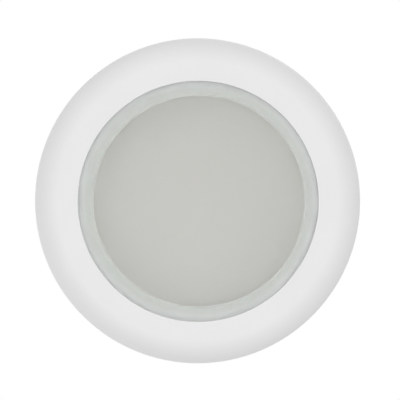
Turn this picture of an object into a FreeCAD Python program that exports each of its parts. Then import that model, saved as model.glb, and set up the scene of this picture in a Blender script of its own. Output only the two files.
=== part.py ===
"""Round soffit downlight: twist-off bezel, frosted glass, finned body, sprung board clips, wiring box on top.

Millimetres, +Z up. The origin is on the lamp's axis, in the plane of the soffit's underside,
so the bezel and the glass hang below Z = 0 and the body stands in the roof space above it.
Each function makes one separate piece and each file in parts/ holds one piece.
"""
import FreeCAD, Part
import math
import os

V = FreeCAD.Vector

# ---------------------------------------------------------------- driving sizes
panel_gap = 0.3               # between parts that move or lift off
screw_fit = 0.05
screw_wall = 0.3              # least metal or play beside a small screw
cast_round = 0.4              # edges of castings and of the glass
moulded_round = 0.5           # top edges of the box's cover and lid

# hole in the soffit and the body that passes through it
cutout_radius = 37.5          # 75 mm hole saw
body_play = 3.5               # body inside the hole, each side
barrel_wall = 2.0
barrel_top = 20.0             # where the heat sink closes the barrel

# light opening, outwards from the axis
reflector_ledge = 2.75        # barrel wall to the clear mouth of the light
seen_gasket = 4.05            # pale band of gasket that shows round the light
glass_rim_width = 2.7         # glass hidden by the bezel
glass_rim_thickness = 2.0
glass_gap = 0.3               # glass to bezel, all round
glass_recess = 0.4            # glass face above the bezel's crown
gasket_thickness = 1.3
gasket_wall = 1.0
gasket_play = 0.2

# front ring of the housing, its seat and what is screwed or stuck to it
flange_wall = 3.8             # metal outside the gasket
seat_thickness = 2.0
seat_hole_margin = 0.75       # seat hole outside the light mouth
flange_fillet = 0.7           # root of the barrel on the flange
rim_bevel = 0.3               # outer edges where barrel and heat sink meet
soffit_gasket_thickness = 1.2
soffit_gasket_inset = 0.2
soffit_gasket_play = 1.0      # gasket to body
ring_thickness = 1.0
ring_inset = 0.8              # retaining ring inside the flange's edge
ring_screw_length = 2.6       # in the housing

# bayonet between bezel and front ring
lug_count = 3
lug_angle = 10.0              # width of one lug, degrees
lug_thickness = 1.1
lug_depth = 0.85              # how far a lug reaches into the front ring
lug_play = 0.2                # above and below a lug
lug_side_play = 0.35
twist_angle = 18.0            # turn from locked to free, degrees
groove_roof = 1.05            # metal above and below the groove
groove_floor = 1.45

# bezel
bezel_overhang = 4.0          # bezel outside the front ring
bezel_rim_gap = 0.4           # bezel edge to soffit
bezel_round = 6.65            # how far in from the edge the rounding reaches
bezel_wall = 1.5
bezel_dome = 0.15             # rise of the inner flat towards the glass
bezel_lip = 0.5               # lip round the glass, above the wall
bezel_lip_wall = 1.3
bezel_edge_round = 0.45

# reflector and light source
reflector_wall = 0.8
reflector_play = 0.55         # reflector lip to barrel
neck_margin = 0.6
phosphor_radius = 6.0
phosphor_thickness = 0.35
phosphor_margin = 1.4         # phosphor to the holder's window
substrate_side = 16.0
substrate_thickness = 1.0
pad_thickness = 0.3
holder_wall = 7.5             # holder outside the substrate
holder_height = 2.8
holder_play = 0.2
holder_screw_shift = 0.9      # screws outside the middle of the holder's rim
holder_round = 0.6
holder_screw_floor = 0.4      # metal of the heat sink's base past the screw holes

# heat sink
sink_base = 4.0
sink_height = 22.0            # whole height, base and fins
sink_ledge = 0.9              # rim left under the flats for the clips
sink_core = 13.0
fin_inset = 0.4               # fin tips inside the barrel's radius
fin_count = 28
fin_root = 2.0
fin_tip = 1.3
fin_shoulder = 3.0
sink_boss = 3.0
sink_boss_height = 9.0
sink_boss_inset = 2.6
sink_boss_floor = 1.5         # metal under a boss's blind hole
sink_screw_pocket = 4.3
clip_inset = 6.5              # flats for the clip brackets inside the barrel's radius
clip_notch_play = 0.7         # slot between the fins, outside the pin
o_ring_section = 0.9
o_ring_play = 0.2
duct_offset = 3.1             # lead duct outside the holder
duct_bore = 2.6
duct_wall = 1.6

# leads from the driver to the light source
lead_radius = 0.6
lead_spacing = 2.6
lead_play = 0.1
lead_fit = 0.02
lead_grommet_lip = 1.0        # flange outside the duct's bore
lead_grommet_cap = 0.8
lead_grommet_depth = 2.5

# spring clips
bracket_thickness = 1.2
bracket_ear = 1.0
bracket_play = 0.4            # arm's cheek to the bracket's ear
bracket_height = 16.0
bracket_screw_length = 7.0
bracket_corner = 1.5
ear_radius = 2.5
pin_radius = 1.5
pin_fit = 0.05
pin_head = 0.6
pin_head_rim = 0.6            # head outside the pin
pin_height = 5.1              # pin above the stop tab's underside
stop_thickness = 0.8
arm_width = 10.0
arm_thickness = 0.8
arm_offset = 0.9              # pin axis to the inner face of the arm's web
arm_flange = 0.4              # cheek inside the web
arm_length = 19.8
toe_bend = 2.0
toe_length = 2.6
window_width = 3.6            # slot pressed out of the arm
window_length = 3.4
window_start = 11.6           # below the pin
sleeve_wall = 0.8
sleeve_length = 3.2
spring_wire = 1.0
spring_radius = 2.5
spring_turns = 3
spring_pitch = 1.55
spring_leg = 4.7
spring_arm_leg = 8.5
spring_play = 0.3

# wiring box
box_x = 38.0
box_y = 56.0
box_wall = 1.8
box_floor = 2.0
box_corner = 4.0
box_post = 3.2
box_post_inset_x = 6.5
box_post_inset_y = 14.0
box_screw_length = 9.0
cover_thickness = 2.0
cover_rim = 1.2
cover_boss = 2.9
cover_screw_length = 8.0
cover_fit = 0.25              # rim of the cover inside the box
cover_rim_depth = 2.0
divider_thickness = 2.0
divider_play = 0.2            # divider to the lid's knuckle, past the panel gap
boss_root = 0.4               # how far a boss sinks into the wall beside it
panel_recess = 0.4            # sunk field on the cover, left bare
panel_margin = 5.0
panel_corner = 1.5
passage_width = 16.0          # window in the divider for the supply wires
passage_height = 3.0
passage_lift = 11.0           # above the box floor
hinge_y = 4.6
lid_play = 0.15
lid_fit = 0.35
lid_rim_depth = 1.5
grip_count = 3                # grooves across the lid's free end
grip_pitch = 1.8
grip_width = 0.8
grip_depth = 0.45
grip_length = 16.0
lid_lip_width = 10.0
lid_lip_reach = 1.6
knuckle_radius = 1.9
hinge_pin_radius = 1.0
hinge_fit = 0.05
knockout_radius = 4.8         # rings in the side walls where a second cable could enter
knockout_width = 0.6
knockout_depth = 0.9
inlet_radius = 3.3
inlet_height = 8.0            # inlet axis above the box floor
grommet_wall = 1.5
grommet_lip = 1.2
grommet_lip_height = 1.3
grommet_nose = 4.0

# driver
board_thickness = 1.6
board_lift = 3.0
board_length = 20.6
board_play = 0.6
board_rib = 1.7
tallest_part = 11.0           # capacitor on the board
headroom = 2.4
core_length = 12.0            # transformer: ferrite core, bobbin and foot
core_depth = 6.0
core_lift = 1.2
core_height = 10.4            # whole height above the board
bobbin_length = 8.8
bobbin_depth = 10.8
bobbin_inset = 1.0
bobbin_corner = 1.8
foot_margin = 0.2
foot_depth = 11.6
foot_thickness = 1.6
capacitor_radius = 4.0
capacitor_groove = 1.4        # height of the rolled groove
capacitor_bead = 0.55
choke_radius = 2.8
choke_core = 2.1
choke_flange = 1.3
choke_height = 7.4
chip_length = 5.2
chip_depth = 4.0
chip_thickness = 1.6
chip_lift = 0.4
chip_pitch = 1.3
chip_leg = 0.4
chip_leg_reach = 1.1
board_edge_gap = 3.0          # board's ends to the parts on it

# terminals and cable clamp
terminal_pitch = 6.0
terminal_depth = 9.0
terminal_gap = 0.5            # lid's knuckle to the block
terminal_end = 0.2            # block past the outer poles' half pitch
terminal_height = 9.5
terminal_bore = 1.4
terminal_bore_lift = 2.6
terminal_inset = 2.6          # screw axis to the block's face
turret_radius = 2.5
turret_bore = 1.75
terminal_seat = 5.0           # shoulder that the screw heads stand on
terminal_head = 1.7
terminal_head_height = 2.2
terminal_shank = 1.05
supply_radius = 0.6           # wires from the terminals to the board
supply_bend = 1.6
supply_reach = 3.0            # length of wire inside a terminal
supply_end_gap = 1.8          # from the board's far edge
clamp_width = 5.0
clamp_thickness = 1.6
clamp_boss = 2.2
clamp_arch_play = 0.5
clamp_drop = 0.6              # bosses' tops below the inlet's axis
clamp_rim = 0.4               # strip's ends past the bosses
clamp_inset = 5.4
clamp_head_height = 1.4

# screws: shank radius, head radius, head height
m16 = (0.8, 1.55, 0.75)
m2 = (1.0, 1.9, 0.9)
m25 = (1.25, 2.4, 1.15)
m3 = (1.5, 2.8, 2.4)

# ---------------------------------------------------------------- radii and levels worked out from them
barrel_radius = cutout_radius - body_play
barrel_inner = barrel_radius - barrel_wall
fin_radius = barrel_radius - fin_inset
clip_flat = barrel_radius - clip_inset
light_radius = barrel_inner - reflector_ledge
window_radius = light_radius + seen_gasket
glass_rim_radius = window_radius + glass_rim_width
pocket_radius = glass_rim_radius + gasket_play + gasket_wall
flange_radius = pocket_radius + flange_wall
ring_radius = flange_radius - ring_inset
bezel_radius = flange_radius + bezel_overhang
bezel_shoulder = bezel_radius - bezel_round

gasket_bottom = -soffit_gasket_thickness
lug_top = gasket_bottom - groove_roof - lug_play
lug_bottom = lug_top - lug_thickness
lug_inner = flange_radius - lug_depth
groove_inner = lug_inner - panel_gap
flange_bottom = lug_bottom - lug_play - groove_floor
glass_top = flange_bottom + glass_rim_thickness
seat_face = glass_top + gasket_thickness
seat_top = seat_face + seat_thickness
ring_bottom = flange_bottom - ring_thickness
lip_top = ring_bottom - panel_gap
bezel_under = lip_top - bezel_lip
bezel_crown = bezel_under - bezel_wall
bezel_rim = -bezel_rim_gap
glass_face = bezel_crown + glass_recess
ring_screw_radius = pocket_radius + m16[0] + screw_wall

base_top = barrel_top + sink_base
sink_top = barrel_top + sink_height
holder_bottom = barrel_top - holder_height
pad_bottom = barrel_top - pad_thickness
substrate_bottom = pad_bottom - substrate_thickness
holder_radius = substrate_side / 2 + holder_wall
holder_window = phosphor_radius + phosphor_margin
reflector_neck = holder_window + substrate_bottom - holder_bottom + neck_margin
duct_y = -(holder_radius + duct_offset)
sink_screw_radius = barrel_inner - sink_boss_inset

bracket_bottom = barrel_top + sink_ledge
bracket_face = clip_flat + bracket_thickness
pin_x = bracket_face + spring_play + spring_wire / 2 + spring_radius
pin_z = bracket_bottom + pin_height
pin_centre = V(pin_x, 0, pin_z)
bracket_width = arm_width + 2 * (bracket_play + bracket_ear)
half_bracket = bracket_width / 2
half_arm = arm_width / 2
clip_notch = bracket_width + 2 * (pin_head + clip_notch_play)
bracket_screw_z = pin_z + ear_radius + spring_radius + m25[1]

floor_top = sink_top + box_floor
board_bottom = floor_top + board_lift
board_top = board_bottom + board_thickness
tub_top = board_top + tallest_part + headroom
box_top = tub_top + cover_thickness
inner_x = box_x / 2 - box_wall
inner_y = box_y / 2 - box_wall
box_post_x = box_x / 2 - box_post_inset_x
box_post_y = box_y / 2 - box_post_inset_y
hinge_z = box_top - knuckle_radius
cover_edge = hinge_y - math.hypot(knuckle_radius + panel_gap, knuckle_radius) - panel_gap
divider_far = hinge_y - knuckle_radius - panel_gap - divider_play
divider_near = divider_far - divider_thickness
board_far = divider_near - board_play
board_near = board_far - board_length
board_half = inner_x - board_play
cover_boss_x = inner_x - cover_boss + boss_root
cover_boss_y = -(inner_y - cover_boss + boss_root)
inlet_z = floor_top + inlet_height
terminal_y = hinge_y + knuckle_radius + terminal_gap
terminal_half = terminal_pitch * 1.5 + terminal_end
clamp_y = inner_y - clamp_inset
clamp_arch = inlet_radius + clamp_arch_play
clamp_screw_x = clamp_arch + clamp_thickness + m2[1] + screw_wall
clamp_boss_top = inlet_z - clamp_drop


def rest_angle():
    """Angle out from straight down at which the arm's cheeks just clear the barrel's rim, in degrees."""
    across = math.sqrt(barrel_radius ** 2 - (half_arm - arm_thickness) ** 2) + panel_gap - pin_x
    cheek = arm_offset - arm_flange
    return math.degrees(math.acos(cheek / math.hypot(across, pin_height)) - math.atan2(pin_height, across))


arm_rest_angle = rest_angle()
swing_axis = V(0, -1, 0)
toe_turn = math.radians(90 - arm_rest_angle)
toe_direction = V(math.sin(toe_turn), 0, -math.cos(toe_turn))
toe_normal = V(math.cos(toe_turn), 0, math.sin(toe_turn))


# ---------------------------------------------------------------- shape helpers
def box(x0, x1, y0, y1, z0, z1):
    return Part.makeBox(x1 - x0, y1 - y0, z1 - z0, V(x0, y0, z0))


def cylinder(radius, z0, z1, x=0.0, y=0.0):
    return Part.makeCylinder(radius, z1 - z0, V(x, y, z0), V(0, 0, 1))


def rod(radius, start, end):
    return Part.makeCylinder(radius, (end - start).Length, start, end - start)


def ring(inner, outer, z0, z1):
    return cylinder(outer, z0, z1).cut(cylinder(inner, z0 - 1, z1 + 1))


def line(a, b):
    return Part.LineSegment(V(a[0], 0, a[1]), V(b[0], 0, b[1])).toShape()


def arc(a, middle, b):
    return Part.Arc(V(a[0], 0, a[1]), V(middle[0], 0, middle[1]), V(b[0], 0, b[1])).toShape()


def quarter_ellipse(centre, across, down):
    """The quarter from straight below the centre round to its outer side."""
    middle = V(centre[0], 0, centre[1])
    low = middle + V(0, 0, -down)
    side = middle + V(across, 0, 0)
    if down >= across:
        curve = Part.Ellipse(low, side, middle)
    else:
        curve = Part.Ellipse(side, low, middle)
    return Part.ArcOfEllipse(curve, 0, math.pi / 2).toShape()


def turned(edges):
    return Part.Face(Part.Wire(edges)).revolve(V(0, 0, 0), V(0, 0, 1), 360)


def turned_outline(points):
    closed = points + points[:1]
    return turned([line(a, b) for a, b in zip(closed, closed[1:])])


def round_edges(solid, radius, wanted):
    edges = [edge for edge in solid.Edges if wanted(edge)]
    return solid.makeFillet(radius, edges) if edges else solid


def circle_at(edge, radius, z):
    curve = edge.Curve
    if not isinstance(curve, Part.Circle):
        return False
    return abs(curve.Radius - radius) < 1e-3 and abs(curve.Center.z - z) < 1e-3


def upright(edge):
    ends = edge.Vertexes
    if len(ends) != 2:
        return False
    return math.hypot(ends[0].X - ends[1].X, ends[0].Y - ends[1].Y) < 1e-6


def sector(inner, outer, z0, z1, start, span):
    """Part of a ring from the start angle through the span, in degrees."""
    profile = Part.makePolygon([
        V(inner, 0, z0), V(outer, 0, z0), V(outer, 0, z1), V(inner, 0, z1), V(inner, 0, z0)])
    solid = Part.Face(profile).revolve(V(0, 0, 0), V(0, 0, 1), span)
    solid.rotate(V(0, 0, 0), V(0, 0, 1), start)
    return solid


def turned_by(shape, angle, axis=V(0, 0, 1), centre=V(0, 0, 0)):
    copy = shape.copy()
    copy.rotate(centre, axis, angle)
    return copy


def moved(shape, offset):
    copy = shape.copy()
    copy.translate(offset)
    return copy


def at_angle(radius, degrees, z=0.0):
    angle = math.radians(degrees)
    return V(radius * math.cos(angle), radius * math.sin(angle), z)


def posts(spots, radius, z0, z1):
    return [cylinder(radius, z0, z1, spot.x, spot.y) for spot in spots]


def drilled(body, spots, radius, z0, z1):
    """The body with an upright round hole at each spot."""
    for hole in posts(spots, radius, z0, z1):
        body = body.cut(hole)
    return body


def joined(first, others):
    others = list(others)
    return first.fuse(others).removeSplitter() if others else first


def polygon_slab(points, start, depth, direction):
    """A flat outline pushed along one direction."""
    face = Part.Face(Part.makePolygon(points + points[:1]))
    solid = face.extrude(direction * depth)
    return moved(solid, direction * start)


def pan_screw(size, head_base, tip, x=0.0, y=0.0):
    """Round-headed screw along Z; the head lies on the far side of head_base from the tip."""
    shank, head, height = size
    up = 1 if head_base > tip else -1
    crown = head_base + up * height
    low, high = sorted((head_base, crown))
    top = cylinder(head, low, high, x, y)
    top = round_edges(top, min(height, head) * 0.45, lambda e: circle_at(e, head, crown))
    slot = box(x - head, x + head, y - 0.35, y + 0.35, *sorted((crown - up * height * 0.5, crown + up)))
    low, high = sorted((head_base, tip))
    return top.cut(slot).fuse(cylinder(shank, low, high, x, y)).removeSplitter()


def flush_screw(size, length):
    """Countersunk screw: head face at the origin, shank along +Z."""
    shank, head, height = size
    cone = Part.makeCone(head, shank, height)
    slot = box(-head, head, -0.3, 0.3, -1, height * 0.4)
    return cone.fuse(cylinder(shank, 0, length)).cut(slot).removeSplitter()


def flush_hole(size, depth):
    """The hole that a countersunk screw sits in."""
    shank, head, height = size
    cone = Part.makeCone(head + screw_fit, shank + screw_fit, height)
    return cone.fuse(cylinder(shank + screw_fit, -1, depth)).fuse(cylinder(head + screw_fit, -1, 0))


# ---------------------------------------------------------------- bezel and front ring
def bezel_inner_radius(z):
    across = bezel_round - bezel_wall
    share = (bezel_rim - z) / (bezel_rim - bezel_under)
    return bezel_shoulder + across * math.sqrt(1 - share * share)


def bezel():
    flat_end = (bezel_shoulder, bezel_crown)
    flat_start = (window_radius, bezel_crown + bezel_dome)
    middle = ((flat_start[0] + flat_end[0]) / 2, bezel_crown + bezel_dome / 4)
    lip_outer = window_radius + bezel_lip_wall
    centre = (bezel_shoulder, bezel_rim)
    shell = turned([
        arc(flat_start, middle, flat_end),
        quarter_ellipse(centre, bezel_round, bezel_rim - bezel_crown),
        line((bezel_radius, bezel_rim), (bezel_radius - bezel_wall, bezel_rim)),
        quarter_ellipse(centre, bezel_round - bezel_wall, bezel_rim - bezel_under),
        line((bezel_shoulder, bezel_under), (lip_outer, bezel_under)),
        line((lip_outer, bezel_under), (lip_outer, lip_top)),
        line((lip_outer, lip_top), (window_radius, lip_top)),
        line((window_radius, lip_top), flat_start),
    ])
    shell = round_edges(shell, bezel_edge_round, lambda e: circle_at(e, window_radius, flat_start[1]))
    lug_outer = bezel_inner_radius(lug_top) + bezel_wall / 3
    lugs = [
        sector(lug_inner, lug_outer, lug_bottom, lug_top, n * 360 / lug_count - lug_angle / 2, lug_angle)
        for n in range(lug_count)
    ]
    return joined(shell, lugs)


def front_housing():
    """Die casting: flange with the bayonet grooves, the glass seat, and the barrel with its screw bosses."""
    seat_hole = light_radius + seat_hole_margin
    body = turned_outline([
        (pocket_radius, flange_bottom), (flange_radius, flange_bottom), (flange_radius, gasket_bottom),
        (barrel_radius, gasket_bottom), (barrel_radius, barrel_top - rim_bevel),
        (barrel_radius - rim_bevel, barrel_top), (barrel_inner, barrel_top),
        (barrel_inner, seat_top), (seat_hole, seat_top), (seat_hole, seat_face), (pocket_radius, seat_face),
    ])
    body = round_edges(body, flange_fillet, lambda e: circle_at(e, barrel_radius, gasket_bottom))
    boss_bottom = barrel_top - sink_boss_height
    bosses = []
    for spot in sink_screw_spots():
        web = box(0, barrel_radius - barrel_wall / 2 - sink_screw_radius, -sink_boss, sink_boss,
                  boss_bottom, barrel_top)
        web = moved(turned_by(web, math.degrees(math.atan2(spot.y, spot.x))), spot)
        bosses.append(cylinder(sink_boss, boss_bottom, barrel_top, spot.x, spot.y).fuse(web))
    body = joined(body, bosses)
    body = round_edges(body, cast_round, lambda e: circle_at(e, flange_radius, flange_bottom))
    side_play = math.degrees(lug_side_play / lug_inner)
    for n in range(lug_count):
        start = n * 360 / lug_count - lug_angle / 2 - side_play
        mouth = lug_angle + 2 * side_play
        low, high = lug_bottom - lug_play, lug_top + lug_play
        body = body.cut(sector(groove_inner, flange_radius + 1, low, high, start, mouth + twist_angle))
        body = body.cut(sector(groove_inner, flange_radius + 1, flange_bottom - 1, high,
                               start + twist_angle, mouth))
    body = drilled(body, sink_screw_spots(), m3[0] + screw_fit, boss_bottom + sink_boss_floor, barrel_top + 1)
    body = drilled(body, ring_screw_spots(), m16[0] + screw_fit,
                   flange_bottom - 1, flange_bottom + ring_screw_length)
    middle = barrel_radius - barrel_wall / 2
    half = o_ring_section / 2 + o_ring_play / 2
    return body.cut(ring(middle - half, middle + half, barrel_top - o_ring_section, barrel_top + 1))


def soffit_gasket():
    return ring(barrel_radius + soffit_gasket_play, flange_radius - soffit_gasket_inset, gasket_bottom, 0)


def ring_screw_spots():
    return [at_angle(ring_screw_radius, 60 + n * 120) for n in range(3)]


def glass_lens():
    boss = window_radius - glass_gap
    lens = turned_outline([
        (0, glass_face), (boss, glass_face), (boss, flange_bottom), (glass_rim_radius, flange_bottom),
        (glass_rim_radius, glass_top), (0, glass_top),
    ])
    return round_edges(lens, cast_round, lambda e: circle_at(e, boss, glass_face))


def lens_gasket():
    inner = glass_rim_radius + gasket_play
    return turned_outline([
        (light_radius, glass_top), (inner, glass_top), (inner, flange_bottom),
        (inner + gasket_wall, flange_bottom), (inner + gasket_wall, seat_face), (light_radius, seat_face),
    ])


def lens_retaining_ring():
    plate = ring(window_radius + glass_gap, ring_radius, ring_bottom, flange_bottom)
    for spot in ring_screw_spots():
        plate = plate.cut(moved(flush_hole(m16, ring_thickness + 1), spot + V(0, 0, ring_bottom)))
    return plate


def retaining_ring_screws():
    length = ring_thickness + ring_screw_length
    return [moved(flush_screw(m16, length - 0.3), spot + V(0, 0, ring_bottom)) for spot in ring_screw_spots()]


# ---------------------------------------------------------------- light source
def reflector():
    low = seat_top
    mouth = light_radius
    neck = reflector_neck
    top = holder_bottom
    lip = barrel_inner - reflector_play
    bulge = (mouth - (mouth - neck) * 0.33, low + (top - low) * 0.5)
    outer_bulge = (bulge[0] + reflector_wall * 0.8, bulge[1] + reflector_wall * 0.6)
    return turned([
        arc((mouth, low), bulge, (neck, top)),
        line((neck, top), (neck + reflector_wall, top)),
        arc((neck + reflector_wall, top), outer_bulge, (mouth + reflector_wall, low + reflector_wall)),
        line((mouth + reflector_wall, low + reflector_wall), (lip, low + reflector_wall)),
        line((lip, low + reflector_wall), (lip, low)),
        line((lip, low), (mouth, low)),
    ])


def led_holder():
    body = cylinder(holder_radius, holder_bottom, barrel_top)
    body = round_edges(body, holder_round, lambda e: circle_at(e, holder_radius, holder_bottom))
    half = substrate_side / 2 + holder_play
    body = body.cut(box(-half, half, -half, half, substrate_bottom, barrel_top + 1))
    slope = substrate_bottom - holder_bottom
    body = body.cut(moved(
        Part.makeCone(holder_window + slope, holder_window, slope), V(0, 0, holder_bottom)))
    for spot in holder_screw_spots():
        body = body.cut(moved(flush_hole(m2, holder_height + 1), spot + V(0, 0, holder_bottom)))
    for side in (-1, 1):
        body = body.cut(lead_channel(side))
    return body


def holder_screw_spots():
    reach = (holder_radius + substrate_side / 2) / 2 + holder_screw_shift
    return [V(-reach, 0, 0), V(reach, 0, 0)]


def led_holder_screws():
    length = holder_height + sink_base - holder_screw_floor - 0.2
    return [moved(flush_screw(m2, length), spot + V(0, 0, holder_bottom)) for spot in holder_screw_spots()]


def led_substrate():
    half = substrate_side / 2
    return box(-half, half, -half, half, substrate_bottom, pad_bottom)


def led_phosphor():
    dome = cylinder(phosphor_radius, substrate_bottom - phosphor_thickness, substrate_bottom)
    return round_edges(dome, phosphor_thickness * 0.6,
                       lambda e: circle_at(e, phosphor_radius, substrate_bottom - phosphor_thickness))


def thermal_pad():
    half = substrate_side / 2
    return box(-half, half, -half, half, pad_bottom, barrel_top)


# ---------------------------------------------------------------- leads from the light source
lead_z = substrate_bottom - lead_radius - lead_play
lead_start = substrate_side / 2 - 2.0


def lead_channel(side):
    """Groove in the holder for one lead, open at the holder's edge."""
    x = side * lead_spacing / 2
    slot = lead_radius + lead_play
    return box(x - slot, x + slot, -holder_radius - 1, -lead_start + 0.1, lead_z - slot, substrate_bottom)


def lead(side):
    x = side * lead_spacing / 2
    bend = duct_offset * 0.6
    corner_y = duct_y
    start = V(x, -lead_start, lead_z)
    before = V(x, corner_y + bend, lead_z)
    after = V(x, corner_y, lead_z + bend)
    middle = V(x, corner_y + bend * (1 - math.sqrt(0.5)), lead_z + bend * (1 - math.sqrt(0.5)))
    end = V(x, corner_y, board_bottom)
    path = Part.Wire([
        Part.LineSegment(start, before).toShape(),
        Part.Arc(before, middle, after).toShape(),
        Part.LineSegment(after, end).toShape(),
    ])
    circle = Part.Wire([Part.Circle(start, V(0, 1, 0), lead_radius).toShape()])
    return path.makePipeShell([circle], True, False)


def lead_grommet():
    low, high = sink_top - lead_grommet_depth, floor_top + lead_grommet_cap
    collar = cylinder(duct_bore - screw_fit, low, floor_top, 0, duct_y)
    collar = collar.fuse(cylinder(duct_bore + lead_grommet_lip, floor_top, high, 0, duct_y))
    for side in (-1, 1):
        x = side * lead_spacing / 2
        collar = collar.cut(cylinder(lead_radius + lead_fit, low - 1, high + 1, x, duct_y))
    return collar.removeSplitter()


# ---------------------------------------------------------------- heat sink
def sink_screw_spots():
    return [at_angle(sink_screw_radius, 45 + n * 90) for n in range(4)]


def box_screw_spots():
    return [V(sx * box_post_x, sy * box_post_y, 0) for sx in (-1, 1) for sy in (-1, 1)]


def fin(angle):
    """One upright fin, thinner at its tip, with a rounded top outer corner."""
    root = sink_core - 1.0
    plan = Part.Face(Part.makePolygon([
        V(root, -fin_root / 2, barrel_top + 1), V(fin_radius + 1, -fin_tip / 2, barrel_top + 1),
        V(fin_radius + 1, fin_tip / 2, barrel_top + 1), V(root, fin_root / 2, barrel_top + 1),
        V(root, -fin_root / 2, barrel_top + 1)]))
    return turned_by(plan.extrude(V(0, 0, sink_height - 1)), angle)


def heatsink():
    blades = joined(fin(0), [fin(n * 360 / fin_count) for n in range(1, fin_count)])
    low = barrel_top
    turn = fin_shoulder * (1 - math.sqrt(0.5))
    envelope = turned([
        line((0, low), (fin_radius, low)),
        line((fin_radius, low), (fin_radius, sink_top - fin_shoulder)),
        arc((fin_radius, sink_top - fin_shoulder), (fin_radius - turn, sink_top - turn),
            (fin_radius - fin_shoulder, sink_top)),
        line((fin_radius - fin_shoulder, sink_top), (0, sink_top)),
        line((0, sink_top), (0, low)),
    ])
    body = blades.common(envelope)
    body = body.fuse(cylinder(sink_core, low, sink_top))
    columns = posts(box_screw_spots(), box_post, low + 1, sink_top)
    columns.append(cylinder(duct_bore + duct_wall, low + 1, sink_top, 0, duct_y))
    body = drilled(body, sink_screw_spots(), sink_screw_pocket, base_top, sink_top + 1)
    base = turned_outline([
        (0, low), (barrel_radius - rim_bevel, low), (barrel_radius, low + rim_bevel),
        (barrel_radius, base_top - rim_bevel), (barrel_radius - rim_bevel, base_top), (0, base_top)])
    body = joined(body, [base] + columns)
    half = clip_notch / 2
    for side in (-1, 1):
        slot = box(clip_flat, barrel_radius + 2, -half, half, bracket_bottom, sink_top + 1)
        body = body.cut(slot if side > 0 else turned_by(slot, 180))
        body = body.cut(rod(m25[0] + screw_fit, V(side * (clip_flat + 1), 0, bracket_screw_z),
                            V(side * (clip_flat - bracket_screw_length), 0, bracket_screw_z)))
    body = drilled(body, sink_screw_spots(), m3[0] + screw_fit, low - 1, base_top + 1)
    body = drilled(body, box_screw_spots(), m25[0] + screw_fit, sink_top - box_screw_length, sink_top + 1)
    body = drilled(body, holder_screw_spots(), m2[0] + screw_fit, low - 1, base_top - holder_screw_floor)
    return body.cut(cylinder(duct_bore, low - 1, sink_top + 1, 0, duct_y))


def heatsink_o_ring():
    middle = barrel_radius - barrel_wall / 2
    return Part.makeTorus(middle, o_ring_section / 2, V(0, 0, barrel_top - o_ring_section / 2))


def heatsink_screws():
    tip = barrel_top - sink_boss_height + sink_boss_floor + 1
    return [pan_screw(m3, base_top, tip, spot.x, spot.y) for spot in sink_screw_spots()]


# ---------------------------------------------------------------- spring clips, drawn on the +X side
def clip_bracket():
    """Pressed steel: back plate, two ears for the pin, and the tab that stops the arm."""
    plate = box(clip_flat, bracket_face, -half_bracket, half_bracket,
                bracket_bottom, bracket_bottom + bracket_height)
    plate = plate.makeFillet(bracket_corner, [
        edge for edge in plate.Edges
        if abs(edge.BoundBox.XLength - bracket_thickness) < 1e-6 and edge.BoundBox.ZMin > bracket_bottom + 1])
    ears = []
    for side in (-1, 1):
        inner = side * (half_bracket - bracket_ear)
        face = V(0, side, 0)
        disc = rod(ear_radius, V(pin_x, inner, pin_z), V(pin_x, side * half_bracket, pin_z))
        web = polygon_slab([
            V(clip_flat, 0, pin_z - ear_radius), V(pin_x, 0, pin_z - ear_radius),
            V(pin_x, 0, pin_z + ear_radius), V(clip_flat, 0, pin_z + 2 * ear_radius),
        ], half_bracket - bracket_ear, bracket_ear, face)
        ears += [disc, web]
    tab_half = half_arm - arm_thickness - panel_gap
    web_x = pin_x + pin_height * math.tan(math.radians(arm_rest_angle))
    web_x += arm_offset / math.cos(math.radians(arm_rest_angle))
    tab_end = web_x - panel_gap - stop_thickness * math.tan(math.radians(arm_rest_angle))
    tab = box(clip_flat, tab_end, -tab_half, tab_half, bracket_bottom, bracket_bottom + stop_thickness)
    body = joined(plate, ears + [tab])
    body = body.cut(rod(pin_radius + pin_fit, V(pin_x, -bracket_width, pin_z), V(pin_x, bracket_width, pin_z)))
    leg_x = pin_x - spring_radius
    body = body.cut(rod(spring_wire / 2 + 0.3, V(leg_x, -spring_span() / 2, bracket_bottom - 1),
                        V(leg_x, -spring_span() / 2, bracket_bottom + 2)))
    return body.cut(bracket_screw_pose(flush_hole(m25, bracket_thickness + 1)))


def bracket_screw_pose(shape):
    """Turn a screw that runs along +Z so that it runs inward from the bracket's face."""
    return moved(turned_by(shape, -90, V(0, 1, 0)), V(bracket_face, 0, bracket_screw_z))


def clip_bracket_screw():
    return bracket_screw_pose(flush_screw(m25, bracket_thickness + bracket_screw_length - 0.6))


def clip_pin():
    reach = half_bracket
    pin = rod(pin_radius, V(pin_x, -reach, pin_z), V(pin_x, reach, pin_z))
    for side in (-1, 1):
        head = rod(pin_radius + pin_head_rim, V(pin_x, side * reach, pin_z),
                   V(pin_x, side * (reach + pin_head), pin_z))
        pin = pin.fuse(head)
    return pin.removeSplitter()


def arm_pose(shape):
    """From hanging straight down below the origin to the rest angle on the pin."""
    return moved(turned_by(shape, arm_rest_angle, swing_axis), pin_centre)


def toe_point(along, depth):
    """A point on the toe: along it from the end of the bend, and depth in from its outer face."""
    radius = toe_bend + arm_thickness / 2 - depth
    centre = V(arm_offset + arm_thickness / 2 + toe_bend, 0, -arm_length)
    return centre - toe_normal * radius + toe_direction * along


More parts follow.
